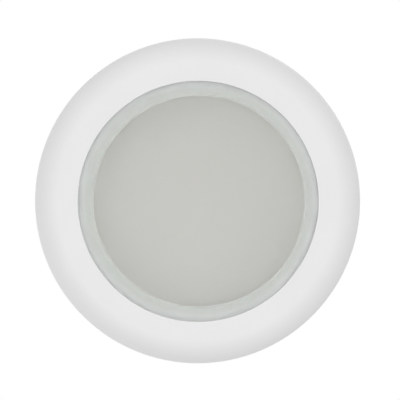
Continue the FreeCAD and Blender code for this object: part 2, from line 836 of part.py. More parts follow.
def clip_arm():
    """Channel-section arm with a turned-out toe, drawn hanging from a pin at the origin."""
    near = arm_offset
    far = arm_offset + arm_thickness
    start = -(spring_radius + spring_wire / 2 + 0.6)
    bend_centre = V(far + toe_bend - arm_thickness / 2, 0, -arm_length)
    outer = toe_bend + arm_thickness / 2
    inner = toe_bend - arm_thickness / 2
    half_turn = toe_turn / 2
    outer_mid = bend_centre + V(-math.cos(half_turn) * outer, 0, -math.sin(half_turn) * outer)
    inner_mid = bend_centre + V(-math.cos(half_turn) * inner, 0, -math.sin(half_turn) * inner)
    outline = Part.Wire([
        Part.LineSegment(V(near, 0, start), V(near, 0, -arm_length)).toShape(),
        Part.Arc(V(near, 0, -arm_length), outer_mid, toe_point(0, 0)).toShape(),
        Part.LineSegment(toe_point(0, 0), toe_point(toe_length, 0)).toShape(),
        Part.LineSegment(toe_point(toe_length, 0), toe_point(toe_length, arm_thickness)).toShape(),
        Part.LineSegment(toe_point(toe_length, arm_thickness), toe_point(0, arm_thickness)).toShape(),
        Part.Arc(toe_point(0, arm_thickness), inner_mid, V(far, 0, -arm_length)).toShape(),
        Part.LineSegment(V(far, 0, -arm_length), V(far, 0, start)).toShape(),
        Part.LineSegment(V(far, 0, start), V(near, 0, start)).toShape(),
    ])
    web = moved(Part.Face(outline).extrude(V(0, arm_width, 0)), V(0, -half_arm, 0))
    cheeks = []
    for side in (-1, 1):
        face = V(0, side, 0)
        inner_y = half_arm - arm_thickness
        disc = rod(ear_radius, V(0, side * inner_y, 0), V(0, side * half_arm, 0))
        cheek = polygon_slab([
            V(-ear_radius * 0.6, 0, -ear_radius * 0.8), V(near - arm_flange, 0, start - 0.2),
            V(near - arm_flange, 0, -arm_length * 0.62), V(near, 0, -arm_length * 0.72),
            V(far, 0, -arm_length * 0.72), V(far, 0, start), V(ear_radius * 0.96, 0, 0),
        ], inner_y, arm_thickness, face)
        cheeks += [disc, cheek]
    body = joined(web, cheeks)
    window = box(0, far + 1, -window_width / 2, window_width / 2, -window_start - window_length, -window_start)
    window = window.makeFillet(window_width / 4, [edge for edge in window.Edges if edge.BoundBox.XLength > 1])
    body = body.cut(window)
    return body.cut(rod(pin_radius + pin_fit, V(0, -arm_width, 0), V(0, arm_width, 0)))


def clip_pad():
    """Soft sleeve with a closed end, pushed over the toe."""
    begin = toe_length - sleeve_length + sleeve_wall
    end = toe_length + sleeve_wall
    corners = [
        toe_point(begin, -sleeve_wall), toe_point(end, -sleeve_wall),
        toe_point(end, arm_thickness + sleeve_wall), toe_point(begin, arm_thickness + sleeve_wall)]
    half = half_arm + sleeve_wall
    body = polygon_slab(corners, -half, 2 * half, V(0, 1, 0))
    body = body.makeFillet(sleeve_wall * 0.7, [
        edge for edge in body.Edges if edge.BoundBox.YLength > arm_width])
    pocket = polygon_slab([
        toe_point(begin - 1, 0), toe_point(toe_length, 0),
        toe_point(toe_length, arm_thickness), toe_point(begin - 1, arm_thickness),
    ], -half_arm, arm_width, V(0, 1, 0))
    return body.cut(pocket)


def spring_angle():
    """Total winding of the wire about the pin, in degrees."""
    return spring_turns * 360 + 180 - arm_rest_angle


def spring_span():
    return spring_pitch * spring_angle() / 360


def biarc(start, start_way, end, end_way):
    """Two arcs, each tangent to the other and to the given directions at the ends."""
    chord = end - start
    both = start_way + end_way
    spare = 2 * (1 - start_way.dot(end_way))
    reach = (-chord.dot(both) + math.sqrt(chord.dot(both) ** 2 + spare * chord.dot(chord))) / spare
    first = start + start_way * reach
    last = end - end_way * reach
    join = (first + last) / 2
    return [tangent_arc(start, first, join), tangent_arc(join, last, end)]


def tangent_arc(start, corner, end):
    """The arc that leaves start towards the corner and arrives at end from it."""
    leg = (corner - start).Length
    back = (start + end) / 2 - corner
    sine = back.Length / leg
    cosine = math.sqrt(1 - sine * sine)
    radius = leg * cosine / sine
    middle = corner + back * (radius * (1 / cosine - 1) / back.Length)
    return Part.Arc(start, middle, end).toShape()


def spring_path():
    """Wire line about a pin at the origin: the fixed leg, the turns, then the leg on the arm."""
    total = spring_angle()
    steps = max(4, round(total / 90))
    span = spring_span()

    def place(share):
        angle = math.radians(180 - total * share)
        return V(spring_radius * math.cos(angle), -span / 2 + span * share, spring_radius * math.sin(angle))

    def way(share):
        angle = math.radians(180 - total * share)
        rise = span / math.radians(total)
        step = V(spring_radius * math.sin(angle), rise, -spring_radius * math.cos(angle))
        return step.normalize()

    arm_way = V(math.sin(math.radians(arm_rest_angle)), 0, -math.cos(math.radians(arm_rest_angle)))
    points = [place(n / steps) for n in range(steps + 1)]
    ways = [V(0, 0, 1)] + [way(n / steps) for n in range(1, steps)] + [arm_way]
    edges = [Part.LineSegment(points[0] - V(0, 0, spring_leg), points[0]).toShape()]
    for n in range(steps):
        edges += biarc(points[n], ways[n], points[n + 1], ways[n + 1])
    edges.append(Part.LineSegment(points[-1], points[-1] + arm_way * spring_arm_leg).toShape())
    return edges


def clip_spring():
    edges = spring_path()
    path = Part.Wire(edges)
    start = edges[0].Vertexes[0].Point
    section = Part.Wire([Part.Circle(start, V(0, 0, 1), spring_wire / 2).toShape()])
    return moved(path.makePipeShell([section], True, False), pin_centre)


def spring_least_gap():
    """Least clear distance between the wire and itself, more than a turn's quarter apart."""
    points = []
    for edge in spring_path():
        points += edge.discretize(Distance=0.25)[:-1]
    apart = int(math.pi * spring_radius / 2 / 0.25)
    least = min(
        points[i].distanceToPoint(points[j])
        for i in range(len(points)) for j in range(i + apart, len(points)))
    return least - spring_wire


# ---------------------------------------------------------------- wiring box
def rounded_slab(x0, x1, y0, y1, z0, z1, radius):
    return round_edges(box(x0, x1, y0, y1, z0, z1), radius, upright)


def cover_screw_spots():
    return [V(-cover_boss_x, cover_boss_y, 0), V(cover_boss_x, cover_boss_y, 0)]


def terminal_screw_xs():
    return [-terminal_pitch, 0.0, terminal_pitch]


def terminal_screw_spots():
    rows = (terminal_y + terminal_inset, terminal_y + terminal_depth - terminal_inset)
    return [V(x, y, 0) for x in terminal_screw_xs() for y in rows]


def clamp_screw_spots():
    return [V(-clamp_screw_x, clamp_y, 0), V(clamp_screw_x, clamp_y, 0)]


def knockout_groove(side):
    """Ring cut halfway through a side wall of the wiring room."""
    y = (divider_far + inner_y) / 2
    start = V(side * (box_x / 2 - knockout_depth), y, inlet_z)
    end = V(side * (box_x / 2 + 1), y, inlet_z)
    return rod(knockout_radius, start, end).cut(rod(knockout_radius - knockout_width, start, end))


def terminal_box():
    outer = rounded_slab(-box_x / 2, box_x / 2, -box_y / 2, box_y / 2, sink_top, tub_top, box_corner)
    inner_corner = max(0.5, box_corner - box_wall)
    driver_room = rounded_slab(-inner_x, inner_x, -inner_y, divider_near, floor_top, tub_top + 1, inner_corner)
    wiring_room = rounded_slab(-inner_x, inner_x, divider_far, inner_y, floor_top, tub_top + 1, inner_corner)
    tub = outer.cut(driver_room).cut(wiring_room)
    adds = []
    for side in (-1, 1):
        face = side * inner_x
        adds.append(box(*sorted((face, face - side * board_rib)), board_near, board_far,
                        floor_top - 0.5, board_bottom))
        low, high = sorted((side * inner_x, side * box_x / 2))
        adds.append(rod(knuckle_radius, V(low, hinge_y, hinge_z), V(high, hinge_y, hinge_z)))
    adds += posts(cover_screw_spots(), cover_boss, floor_top - 0.5, tub_top)
    adds += posts(clamp_screw_spots(), clamp_boss, floor_top - 0.5, clamp_boss_top)
    shell = rounded_slab(-box_x / 2, box_x / 2, -box_y / 2, box_y / 2, sink_top, box_top, box_corner)
    tub = tub.cut(box(-inner_x, inner_x, divider_far, hinge_y + knuckle_radius + panel_gap,
                      hinge_z - knuckle_radius - panel_gap, tub_top + 1))
    tub = joined(tub, adds).common(shell)
    for side in (-1, 1):
        tub = tub.cut(rod(hinge_pin_radius + hinge_fit, V(0, hinge_y, hinge_z),
                          V(side * box_x, hinge_y, hinge_z)))
    passage_low = floor_top + passage_lift
    tub = tub.cut(box(-passage_width / 2, passage_width / 2, divider_near - 1, divider_far + 1,
                      passage_low, passage_low + passage_height))
    tub = tub.cut(rod(inlet_radius + grommet_wall, V(0, inner_y - 2, inlet_z), V(0, box_y, inlet_z)))
    for side in (-1, 1):
        tub = tub.cut(knockout_groove(side))
    small, large = m2[0] + screw_fit, m25[0] + screw_fit
    tub = drilled(tub, cover_screw_spots(), small, tub_top - cover_screw_length - 1, tub_top + 1)
    tub = drilled(tub, clamp_screw_spots(), small, floor_top, clamp_boss_top + 1)
    tub = drilled(tub, box_screw_spots(), large, sink_top - 1, floor_top + 1)
    return tub.cut(cylinder(duct_bore, sink_top - 1, floor_top + 1, 0, duct_y))


def terminal_box_screws():
    size = (m25[0], m25[1], 1.8)
    tip = sink_top - box_screw_length + 1
    return [pan_screw(size, floor_top, tip, spot.x, spot.y) for spot in box_screw_spots()]


def driver_board():
    plate = rounded_slab(-board_half, board_half, board_near, board_far, board_bottom, board_top, 1.2)
    return drilled(plate, cover_screw_spots(), cover_boss + panel_gap, board_bottom - 1, board_top + 1)


def centred_box(x, y, length, depth, z0, z1):
    return box(x - length / 2, x + length / 2, y - depth / 2, y + depth / 2, z0, z1)


def driver_transformer():
    """Ferrite core round a wound bobbin."""
    x = board_edge_gap + core_length / 2 - board_half
    y = board_near + board_edge_gap + foot_depth / 2
    core = centred_box(x, y, core_length, core_depth, board_top + core_lift, board_top + core_height)
    core = core.makeFillet(0.5, core.Edges)
    bobbin = centred_box(x, y, bobbin_length, bobbin_depth, board_top + core_lift + bobbin_inset,
                         board_top + core_height - bobbin_inset)
    bobbin = round_edges(bobbin, bobbin_corner, upright)
    foot = centred_box(x, y, core_length + 2 * foot_margin, foot_depth, board_top, board_top + foot_thickness)
    return joined(core, [bobbin, foot])


def driver_capacitor():
    """Upright can with the rolled-in groove near its foot."""
    x = board_half - choke_radius - capacitor_radius - 1.5 * board_edge_gap
    y = board_far - capacitor_radius - board_edge_gap
    top = board_top + tallest_part
    can = cylinder(capacitor_radius, board_top, top, x, y)
    can = round_edges(can, capacitor_bead, lambda e: circle_at(e, capacitor_radius, top))
    groove = Part.makeTorus(capacitor_radius + 0.5 * capacitor_bead, capacitor_bead,
                            V(x, y, board_top + capacitor_groove))
    return can.cut(groove)


def driver_choke():
    """Drum core; the waist holds the winding."""
    x = board_half - choke_radius - board_edge_gap / 2
    y = board_far - choke_radius - board_edge_gap
    drum = cylinder(choke_radius, board_top, board_top + choke_height, x, y)
    low, high = board_top + choke_flange, board_top + choke_height - choke_flange
    return drum.cut(moved(ring(choke_core, choke_radius + 1, low, high), V(x, y, 0)))


def driver_chip():
    """Small power chip with four legs a side."""
    x = board_half - choke_radius - chip_length / 2 - board_edge_gap
    y = board_near + board_edge_gap + chip_depth / 2
    low = board_top + chip_lift
    body = centred_box(x, y, chip_length, chip_depth, low, low + chip_thickness)
    legs = []
    for side in (-1, 1):
        for n in range(4):
            leg_x = x + (n - 1.5) * chip_pitch
            leg_y = y + side * (chip_depth + chip_leg_reach - chip_leg) / 2
            legs.append(centred_box(leg_x, leg_y, chip_leg, chip_leg_reach + chip_leg,
                                    board_top, board_top + 2 * chip_leg))
    return joined(body, legs)


def driver_cover():
    edge = cover_edge
    plate = rounded_slab(-box_x / 2, box_x / 2, -box_y / 2, edge + box_corner, tub_top, box_top, box_corner)
    plate = plate.common(box(-box_x, box_x, -box_y, edge, tub_top - 1, box_top + 1))
    plate = round_edges(plate, moulded_round,
                        lambda e: e.BoundBox.ZMin > box_top - 1e-3 and e.BoundBox.YMin < edge - 1)
    screw_room = box_y / 2 + cover_boss_y + m2[1]
    plate = plate.cut(rounded_slab(
        -box_x / 2 + panel_margin, box_x / 2 - panel_margin, -box_y / 2 + screw_room + panel_margin / 2,
        edge - panel_margin, box_top - panel_recess, box_top + 1, panel_corner))
    fit = cover_fit
    rim = rounded_slab(-inner_x + fit, inner_x - fit, -inner_y + fit, divider_near - fit,
                       tub_top - cover_rim_depth, tub_top, box_corner - box_wall)
    inset = fit + cover_rim
    rim = rim.cut(rounded_slab(-inner_x + inset, inner_x - inset, -inner_y + inset, divider_near - inset,
                               tub_top - cover_rim_depth - 1, tub_top + 1, box_corner - box_wall - cover_rim))
    rim = drilled(rim, cover_screw_spots(), cover_boss + fit, tub_top - cover_rim_depth - 1, tub_top)
    body = joined(plate, [rim])
    for spot in cover_screw_spots():
        body = body.cut(cover_screw_pose(flush_hole(m2, cover_thickness + cover_rim_depth + 1), spot))
    return body


def cover_screw_pose(shape, spot):
    """Turn a screw that runs along +Z so that it runs down from the cover's face."""
    return moved(turned_by(shape, 180, V(1, 0, 0)), V(spot.x, spot.y, box_top))


def driver_cover_screws():
    length = cover_thickness + cover_screw_length
    screws = []
    for spot in cover_screw_spots():
        screws.append(cover_screw_pose(flush_screw(m2, length), spot))
    return screws


def terminal_lid():
    """Hinged lid: a knuckle on the pin, a flat panel, a locating rim and a lifting lip."""
    start = hinge_y + knuckle_radius + panel_gap
    side_gap = inner_x - panel_gap
    knuckle = rod(knuckle_radius, V(-side_gap, hinge_y, hinge_z), V(side_gap, hinge_y, hinge_z))
    neck = box(-side_gap, side_gap, hinge_y, start + 1, tub_top + lid_play, box_top)
    seat = tub_top + lid_play
    panel = rounded_slab(-box_x / 2, box_x / 2, start - box_corner, box_y / 2, seat, box_top, box_corner)
    panel = panel.common(box(-box_x, box_x, start, box_y, tub_top - 1, box_top + 1))
    panel = round_edges(panel, moulded_round,
                        lambda e: e.BoundBox.ZMin > box_top - 1e-3 and e.BoundBox.YMax > start + 1)
    fit = lid_fit
    rim = rounded_slab(-inner_x + fit, inner_x - fit, start + cover_rim, inner_y - fit - panel_gap,
                       tub_top - lid_rim_depth, seat, box_corner - box_wall)
    inset = fit + cover_rim
    rim = rim.cut(rounded_slab(-inner_x + inset, inner_x - inset, start + 2 * cover_rim,
                               inner_y - inset - panel_gap, tub_top - lid_rim_depth - 1, tub_top + 1,
                               box_corner - box_wall - cover_rim))
    half_lip = lid_lip_width / 2
    lip = box(-half_lip, half_lip, box_y / 2 - 1, box_y / 2 + lid_lip_reach, tub_top + 0.3, box_top - 0.3)
    lip = round_edges(lip, 0.6, lambda e: e.BoundBox.YMin > box_y / 2 + 1)
    body = joined(knuckle, [neck, panel, rim, lip])
    for n in range(grip_count):
        y = box_y / 2 - grip_pitch * (n + 1.5)
        groove = rounded_slab(-grip_length / 2, grip_length / 2, y - grip_width / 2, y + grip_width / 2,
                              box_top - grip_depth, box_top + 1, grip_width * 0.49)
        body = body.cut(groove)
    return body.cut(rod(hinge_pin_radius + hinge_fit, V(-box_x, hinge_y, hinge_z), V(box_x, hinge_y, hinge_z)))


def lid_hinge_pin():
    reach = box_x / 2 - 0.2
    return rod(hinge_pin_radius, V(-reach, hinge_y, hinge_z), V(reach, hinge_y, hinge_z))


def terminal_block():
    """Three-pole block: a rounded turret over each clamp, wire holes through along Y."""
    half = terminal_half
    y0, y1 = terminal_y, terminal_y + terminal_depth
    body = box(-half, half, y0, y1, floor_top, floor_top + terminal_height * 0.62)
    seat, top = floor_top + terminal_seat, floor_top + terminal_height
    body = joined(body, posts(terminal_screw_spots(), turret_radius, floor_top + 1, top))
    bore_z = floor_top + terminal_bore_lift
    for x in terminal_screw_xs():
        body = body.cut(rod(terminal_bore, V(x, y0 - 1, bore_z), V(x, y1 + 1, bore_z)))
    body = drilled(body, terminal_screw_spots(), turret_bore, seat, top + 1)
    return drilled(body, terminal_screw_spots(), terminal_shank + screw_fit, bore_z, top)


def terminal_screws():
    low = floor_top + terminal_seat
    crown = low + terminal_head_height
    screws = []
    for spot in terminal_screw_spots():
        x, y = spot.x, spot.y
        head = cylinder(terminal_head, low, crown, x, y)
        shank = cylinder(terminal_shank, low - terminal_head, low, x, y)
        slot = box(x - terminal_head, x + terminal_head, y - 0.3, y + 0.3, crown - 0.8, crown + 1)
        screws.append(head.fuse(shank).cut(slot).removeSplitter())
    return screws


def supply_wire(side):
    """From the driver board up, through the divider's window and down into a terminal."""
    x = side * terminal_pitch
    near, far = board_far - supply_end_gap, (divider_far + terminal_y) / 2
    high = floor_top + passage_lift + passage_height / 2
    low = floor_top + terminal_bore_lift
    bend = supply_bend
    cut = bend * (1 - math.sqrt(0.5))
    points = [
        V(x, near, board_top), V(x, near, high - bend), V(x, near + cut, high - cut), V(x, near + bend, high),
        V(x, far - bend, high), V(x, far - cut, high - cut), V(x, far, high - bend), V(x, far, low + bend),
        V(x, far + cut, low + cut), V(x, far + bend, low), V(x, terminal_y + supply_reach, low)]
    edges = []
    for n in (0, 3, 6, 9):
        edges.append(Part.LineSegment(points[n], points[n + 1]).toShape())
        if n < 9:
            edges.append(Part.Arc(points[n + 1], points[n + 2], points[n + 3]).toShape())
    circle = Part.Wire([Part.Circle(points[0], V(0, 0, 1), supply_radius).toShape()])
    return Part.Wire(edges).makePipeShell([circle], True, False)


def cable_clamp():
    """Saddle strip, arched over the cable."""
    z = clamp_boss_top
    reach = clamp_screw_x + clamp_boss + clamp_rim
    y0, y1 = clamp_y - clamp_width / 2, clamp_y + clamp_width / 2
    arch = clamp_arch
    strip = box(-reach, reach, y0, y1, z, z + clamp_thickness)
    hump = rod(arch + clamp_thickness, V(0, y0, inlet_z), V(0, y1, inlet_z))
    hump = hump.common(box(-reach, reach, y0 - 1, y1 + 1, z, box_top))
    body = joined(strip, [hump]).cut(rod(arch, V(0, y0 - 1, inlet_z), V(0, y1 + 1, inlet_z)))
    return drilled(body, clamp_screw_spots(), m2[0] + screw_fit, z - 1, z + clamp_thickness + 1)


def cable_clamp_screws():
    z = clamp_boss_top + clamp_thickness
    size = (m2[0], m2[1], clamp_head_height)
    return [pan_screw(size, z, floor_top + 1, spot.x, spot.y) for spot in clamp_screw_spots()]


def cable_grommet():
    """Soft sleeve in the end wall, with a lip on each side of it."""
    hub = inlet_radius + grommet_wall
    lip = hub + grommet_lip_height
    inside, outside = inner_y, box_y / 2
    sleeve = rod(hub, V(0, inside - grommet_lip, inlet_z), V(0, outside + grommet_nose, inlet_z))
    collars = [
        rod(lip, V(0, inside - grommet_lip, inlet_z), V(0, inside, inlet_z)),
        rod(lip, V(0, outside, inlet_z), V(0, outside + grommet_lip, inlet_z))]
    body = joined(sleeve, collars)
    body = round_edges(body, 0.8, lambda e: isinstance(e.Curve, Part.Circle)
                       and abs(e.Curve.Center.y - outside - grommet_nose) < 1e-3)
    return body.cut(rod(inlet_radius, V(0, clamp_y, inlet_z), V(0, box_y, inlet_z)))


# ---------------------------------------------------------------- write every piece
def clip_pieces(side):
    """The pieces of one clip and its screw, turned half round for the -X side."""
    angle = 0 if side == "right" else 180
    makers = {
        "clip_bracket": clip_bracket(),
        "clip_bracket_screw": clip_bracket_screw(),
        "clip_pin": clip_pin(),
        "clip_arm": arm_pose(clip_arm()),
        "clip_pad": arm_pose(clip_pad()),
        "clip_spring": clip_spring(),
    }
    return {name + "_" + side: turned_by(shape, angle) for name, shape in makers.items()}


def all_pieces():
    pieces = {
        "bezel": bezel(),
        "glass_lens": glass_lens(),
        "lens_gasket": lens_gasket(),
        "lens_retaining_ring": lens_retaining_ring(),
        "retaining_ring_screws": Part.makeCompound(retaining_ring_screws()),
        "soffit_gasket": soffit_gasket(),
        "front_housing": front_housing(),
        "reflector": reflector(),
        "led_holder": led_holder(),
        "led_holder_screws": Part.makeCompound(led_holder_screws()),
        "led_substrate": led_substrate(),
        "led_phosphor": led_phosphor(),
        "thermal_pad": thermal_pad(),
        "lead_positive": lead(1),
        "lead_negative": lead(-1),
        "lead_grommet": lead_grommet(),
        "heatsink": heatsink(),
        "heatsink_o_ring": heatsink_o_ring(),
        "heatsink_screws": Part.makeCompound(heatsink_screws()),
        "terminal_box": terminal_box(),
        "terminal_box_screws": Part.makeCompound(terminal_box_screws()),
        "driver_board": driver_board(),
        "driver_transformer": driver_transformer(),
        "driver_capacitor": driver_capacitor(),
        "driver_choke": driver_choke(),
        "driver_chip": driver_chip(),
        "driver_cover": driver_cover(),
        "driver_cover_screws": Part.makeCompound(driver_cover_screws()),
        "terminal_lid": terminal_lid(),
        "lid_hinge_pin": lid_hinge_pin(),
        "terminal_block": terminal_block(),
        "terminal_screws": Part.makeCompound(terminal_screws()),
        "supply_wire_live": supply_wire(-1),
        "supply_wire_neutral": supply_wire(1),
        "cable_clamp": cable_clamp(),
        "cable_clamp_screws": Part.makeCompound(cable_clamp_screws()),
        "cable_grommet": cable_grommet(),
    }
    for side in ("right", "left"):
        pieces.update(clip_pieces(side))
    return pieces


os.makedirs("parts", exist_ok=True)
for name, shape in all_pieces().items():
    shape.exportStep("parts/" + name + ".step")
    print(name, len(shape.Solids), round(shape.Volume, 2), shape.isValid())
print("least gap between the spring's turns, mm:", round(spring_least_gap(), 2))
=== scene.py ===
# %% [markdown]
# # A soffit downlight, dressed in Blender
# The lamp is recessed in the underside of a roof's eaves. From below only its white bezel and its
# frosted glass show. Above the board there are a cast housing, a finned heat sink, two sprung clips
# and a wiring box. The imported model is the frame: it gives every piece its place, its size and the
# body that it moves with. This file gives the pieces their finished shapes and surfaces.

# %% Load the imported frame
import bmesh
import bpy
import math
from mathutils import Matrix, Vector


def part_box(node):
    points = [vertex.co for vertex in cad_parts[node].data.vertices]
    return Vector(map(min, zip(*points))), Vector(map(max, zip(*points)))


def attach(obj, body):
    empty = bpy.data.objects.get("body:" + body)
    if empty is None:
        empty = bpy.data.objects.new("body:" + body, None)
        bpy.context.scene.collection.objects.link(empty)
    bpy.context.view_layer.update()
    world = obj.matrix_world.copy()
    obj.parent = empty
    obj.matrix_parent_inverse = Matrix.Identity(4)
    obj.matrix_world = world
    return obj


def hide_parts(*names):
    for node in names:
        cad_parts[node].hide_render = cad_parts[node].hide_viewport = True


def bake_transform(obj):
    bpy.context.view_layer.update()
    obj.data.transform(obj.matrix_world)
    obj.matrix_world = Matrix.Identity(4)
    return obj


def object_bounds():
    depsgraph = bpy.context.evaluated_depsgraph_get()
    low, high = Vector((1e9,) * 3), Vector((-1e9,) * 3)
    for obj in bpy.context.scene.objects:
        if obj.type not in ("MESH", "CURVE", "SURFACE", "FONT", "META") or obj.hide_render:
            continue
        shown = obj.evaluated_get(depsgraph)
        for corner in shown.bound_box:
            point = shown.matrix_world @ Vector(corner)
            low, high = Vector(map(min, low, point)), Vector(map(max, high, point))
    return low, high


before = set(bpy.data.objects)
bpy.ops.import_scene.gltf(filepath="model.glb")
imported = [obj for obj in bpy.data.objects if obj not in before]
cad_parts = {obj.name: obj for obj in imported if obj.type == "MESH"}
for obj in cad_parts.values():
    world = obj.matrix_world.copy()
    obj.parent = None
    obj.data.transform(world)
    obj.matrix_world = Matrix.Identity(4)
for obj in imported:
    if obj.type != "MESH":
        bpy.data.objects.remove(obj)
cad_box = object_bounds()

MM = 0.001


def span(node):
    """The node's lowest and highest corner at rest, in mm."""
    low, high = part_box(node)
    return low / MM, high / MM


# %% [markdown]
# ## The camera
# The photograph looks straight up at the lamp, through a long lens: the rings are almost concentric,
# and their centres drift by less than a pixel. So the camera stands a metre below the soffit, a
# little off the axis, and the picture is about 110 mm wide where the bezel's outline lies.

# %% Camera below the soffit
PHOTO_WIDTH = 110.38 * MM        # what the picture spans at the bezel
CAMERA_DISTANCE = 1.0
OUTLINE_LEVEL = -3.5 * MM
AIM_RIGHT = 0.57 * MM            # the picture's middle lies this far from the lamp's axis
AIM_UP = 0.29 * MM
FROM_LEFT = math.radians(1.2)
FROM_ABOVE = math.radians(0.9)


def camera_below():
    data = bpy.data.cameras.new("camera")
    data.sensor_width = 36.0
    data.lens = data.sensor_width * CAMERA_DISTANCE / PHOTO_WIDTH
    data.clip_start = 0.01
    data.clip_end = 10.0
    camera = bpy.data.objects.new("camera", data)
    bpy.context.scene.collection.objects.link(camera)
    back = Vector((-math.tan(FROM_LEFT), -math.tan(FROM_ABOVE), -1.0)).normalized()
    right = Vector((0, -1, 0)).cross(back).normalized()
    up = back.cross(right)
    turn = Matrix((right, up, back)).transposed().to_4x4()
    target = Vector((AIM_RIGHT, -AIM_UP, OUTLINE_LEVEL))
    camera.matrix_world = Matrix.Translation(target + back * CAMERA_DISTANCE) @ turn
    bpy.context.scene.camera = camera
    return camera


camera = camera_below()
print("camera lens mm:", round(camera.data.lens, 1), "at", [round(v, 3) for v in camera.location])

# %% [markdown]
# ## Shape helpers
# Nearly every piece of this lamp that shows is turned, pressed, moulded or bent from wire. A turned
# piece is a closed outline spun round an axis, with its corners rounded first, because a sharp edge
# catches no light. A wire is a round section carried along a line. Castings and mouldings keep their
# CAD solids, and their edges are rounded in the material, so no detail of them is lost.


# %% Outlines and turned pieces
def rounded(outline, radius, steps=4):
    """The outline with each corner cut back to an arc; radius is one number or one for each corner."""
    count = len(outline)
    radii = radius if isinstance(radius, list) else [radius] * count
    points = []
    for n in range(count):
        corner = Vector(outline[n])
        before = Vector(outline[n - 1]) - corner
        after = Vector(outline[(n + 1) % count]) - corner
        turn = math.pi - before.angle(after)
        if radii[n] <= 0 or turn < 0.02:
            points.append(tuple(corner))
            continue
        cut = min(radii[n] * math.tan(turn / 2), before.length * 0.48, after.length * 0.48)
        start = corner + before.normalized() * cut
        end = corner + after.normalized() * cut
        for k in range(steps + 1):
            share = k / steps
            points.append(tuple(start.lerp(corner, share).lerp(corner.lerp(end, share), share)))
    return points


def placed(x, y, height, centre, along):
    """A point from its place across an axis and its height along it, in metres."""
    if along == "x":
        return Vector((height, centre[0] + x, centre[1] + y)) * MM
    if along == "y":
        return Vector((centre[0] + x, height, centre[1] + y)) * MM
    return Vector((centre[0] + x, centre[1] + y, height)) * MM


def spin(data, outline, segments=160, centre=(0.0, 0.0), along="z"):
    """A closed outline of (radius, height) in mm, spun round an axis, added to the mesh data."""
    rings = []
    for radius, height in outline:
        angles = [2 * math.pi * k / segments for k in range(segments)] if radius > 1e-6 else [0.0]
        spots = [(radius * math.cos(a), radius * math.sin(a)) for a in angles]
        rings.append([data.verts.new(placed(x, y, height, centre, along)) for x, y in spots])
    for n, first in enumerate(rings):
        second = rings[(n + 1) % len(rings)]
        if len(first) == 1 and len(second) == 1:
            continue
        for k in range(segments):
            after = (k + 1) % segments
            corners = [first[k % len(first)], first[after % len(first)],
                       second[after % len(second)], second[k % len(second)]]
            data.faces.new(list(dict.fromkeys(corners)))


def piece_from(name, data, sharp=35.0):
    """The mesh data as a piece, smooth everywhere but across edges sharper than the angle."""
    bmesh.ops.recalc_face_normals(data, faces=data.faces)
    for edge in data.edges:
        edge.smooth = len(edge.link_faces) == 2 and edge.calc_face_angle(0.0) < math.radians(sharp)
    for face in data.faces:
        face.smooth = True
    mesh = bpy.data.meshes.new(name)
    data.to_mesh(mesh)
    data.free()
    piece = bpy.data.objects.new(name, mesh)
    bpy.context.scene.collection.objects.link(piece)
    return piece


def turned(name, outline, **how):
    data = bmesh.new()
    spin(data, outline, **how)
    return piece_from(name, data)


made_pieces = {}                 # each new piece with the material slot that it takes its finish from


def takes_finish(piece, slot):
    made_pieces[piece] = slot


def stands_for(piece, body, slot, *nodes):
    """The piece moves with the body, takes its finish from the slot and hides those nodes."""
    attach(piece, body)
    takes_finish(piece, slot)
    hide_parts(*nodes)
    return piece


print("a corner rounded in", len(rounded([(1, 0), (2, 0), (2, 1), (1, 1)], 0.1)), "points")

# %% [markdown]
# ## The bezel
# The real trim ring is a thin die casting with a white powder coat. Its face is flat round the glass
# and then rolls back to the soffit. All the shading in the photograph is that roll. It starts to fall
# early, so the curve is a little straighter than the CAD's quarter ellipse, and it gets many narrow
# rings. A lathe is the way to make it, and its three bayonet lugs are wedges added inside.

# %% Bezel
bezel_low, bezel_high = span("bezel")
glass_low, glass_high = span("glass_lens")
BEZEL_ROUND = 6.65               # how far in from the edge the roll reaches
BEZEL_WALL = 1.5
BEZEL_DOME = 0.15
LIP_WALL = 1.3
LIP_EDGE = 0.14                  # the lip meets the glass with an almost sharp corner
WINDOW_RADIUS = 33.06            # the lip with its coat almost meets the glass
ROLL_POWER = 1.7                 # 2 would be an ellipse
LIP_TOP = -6.5
LUG_LEVELS = (-3.55, -2.45)
LUG_REACH = (40.15, 44.0)
LUG_WIDTH = 10.0                 # degrees


def quarter_roll(centre, across, down, power=2.0, steps=26):
    """Points from straight below a centre round to its outer side; a power of 2 gives an ellipse."""
    angles = [math.pi / 2 * k / steps for k in range(steps + 1)]
    share = 2 / power
    return [(centre[0] + across * math.sin(a) ** share, centre[1] - down * max(0.0, math.cos(a)) ** share)
            for a in angles]


def wedge(data, radii, levels, middle, width, steps=8):
    """A piece of a ring, with its corners eased, centred on an angle in degrees."""
    corners = [(radii[0], levels[0]), (radii[1], levels[0]), (radii[1], levels[1]), (radii[0], levels[1])]
    section = rounded(corners, 0.2, steps=2)
    rows = []
    for k in range(steps + 1):
        angle = math.radians(middle - width / 2 + width * k / steps)
        rows.append([data.verts.new(placed(r * math.cos(angle), r * math.sin(angle), z, (0, 0), "z"))
                     for r, z in section])
    for first, second in zip(rows, rows[1:]):
        for n in range(len(section)):
            after = (n + 1) % len(section)
            data.faces.new((first[n], first[after], second[after], second[n]))
    data.faces.new(rows[0])
    data.faces.new(list(reversed(rows[-1])))


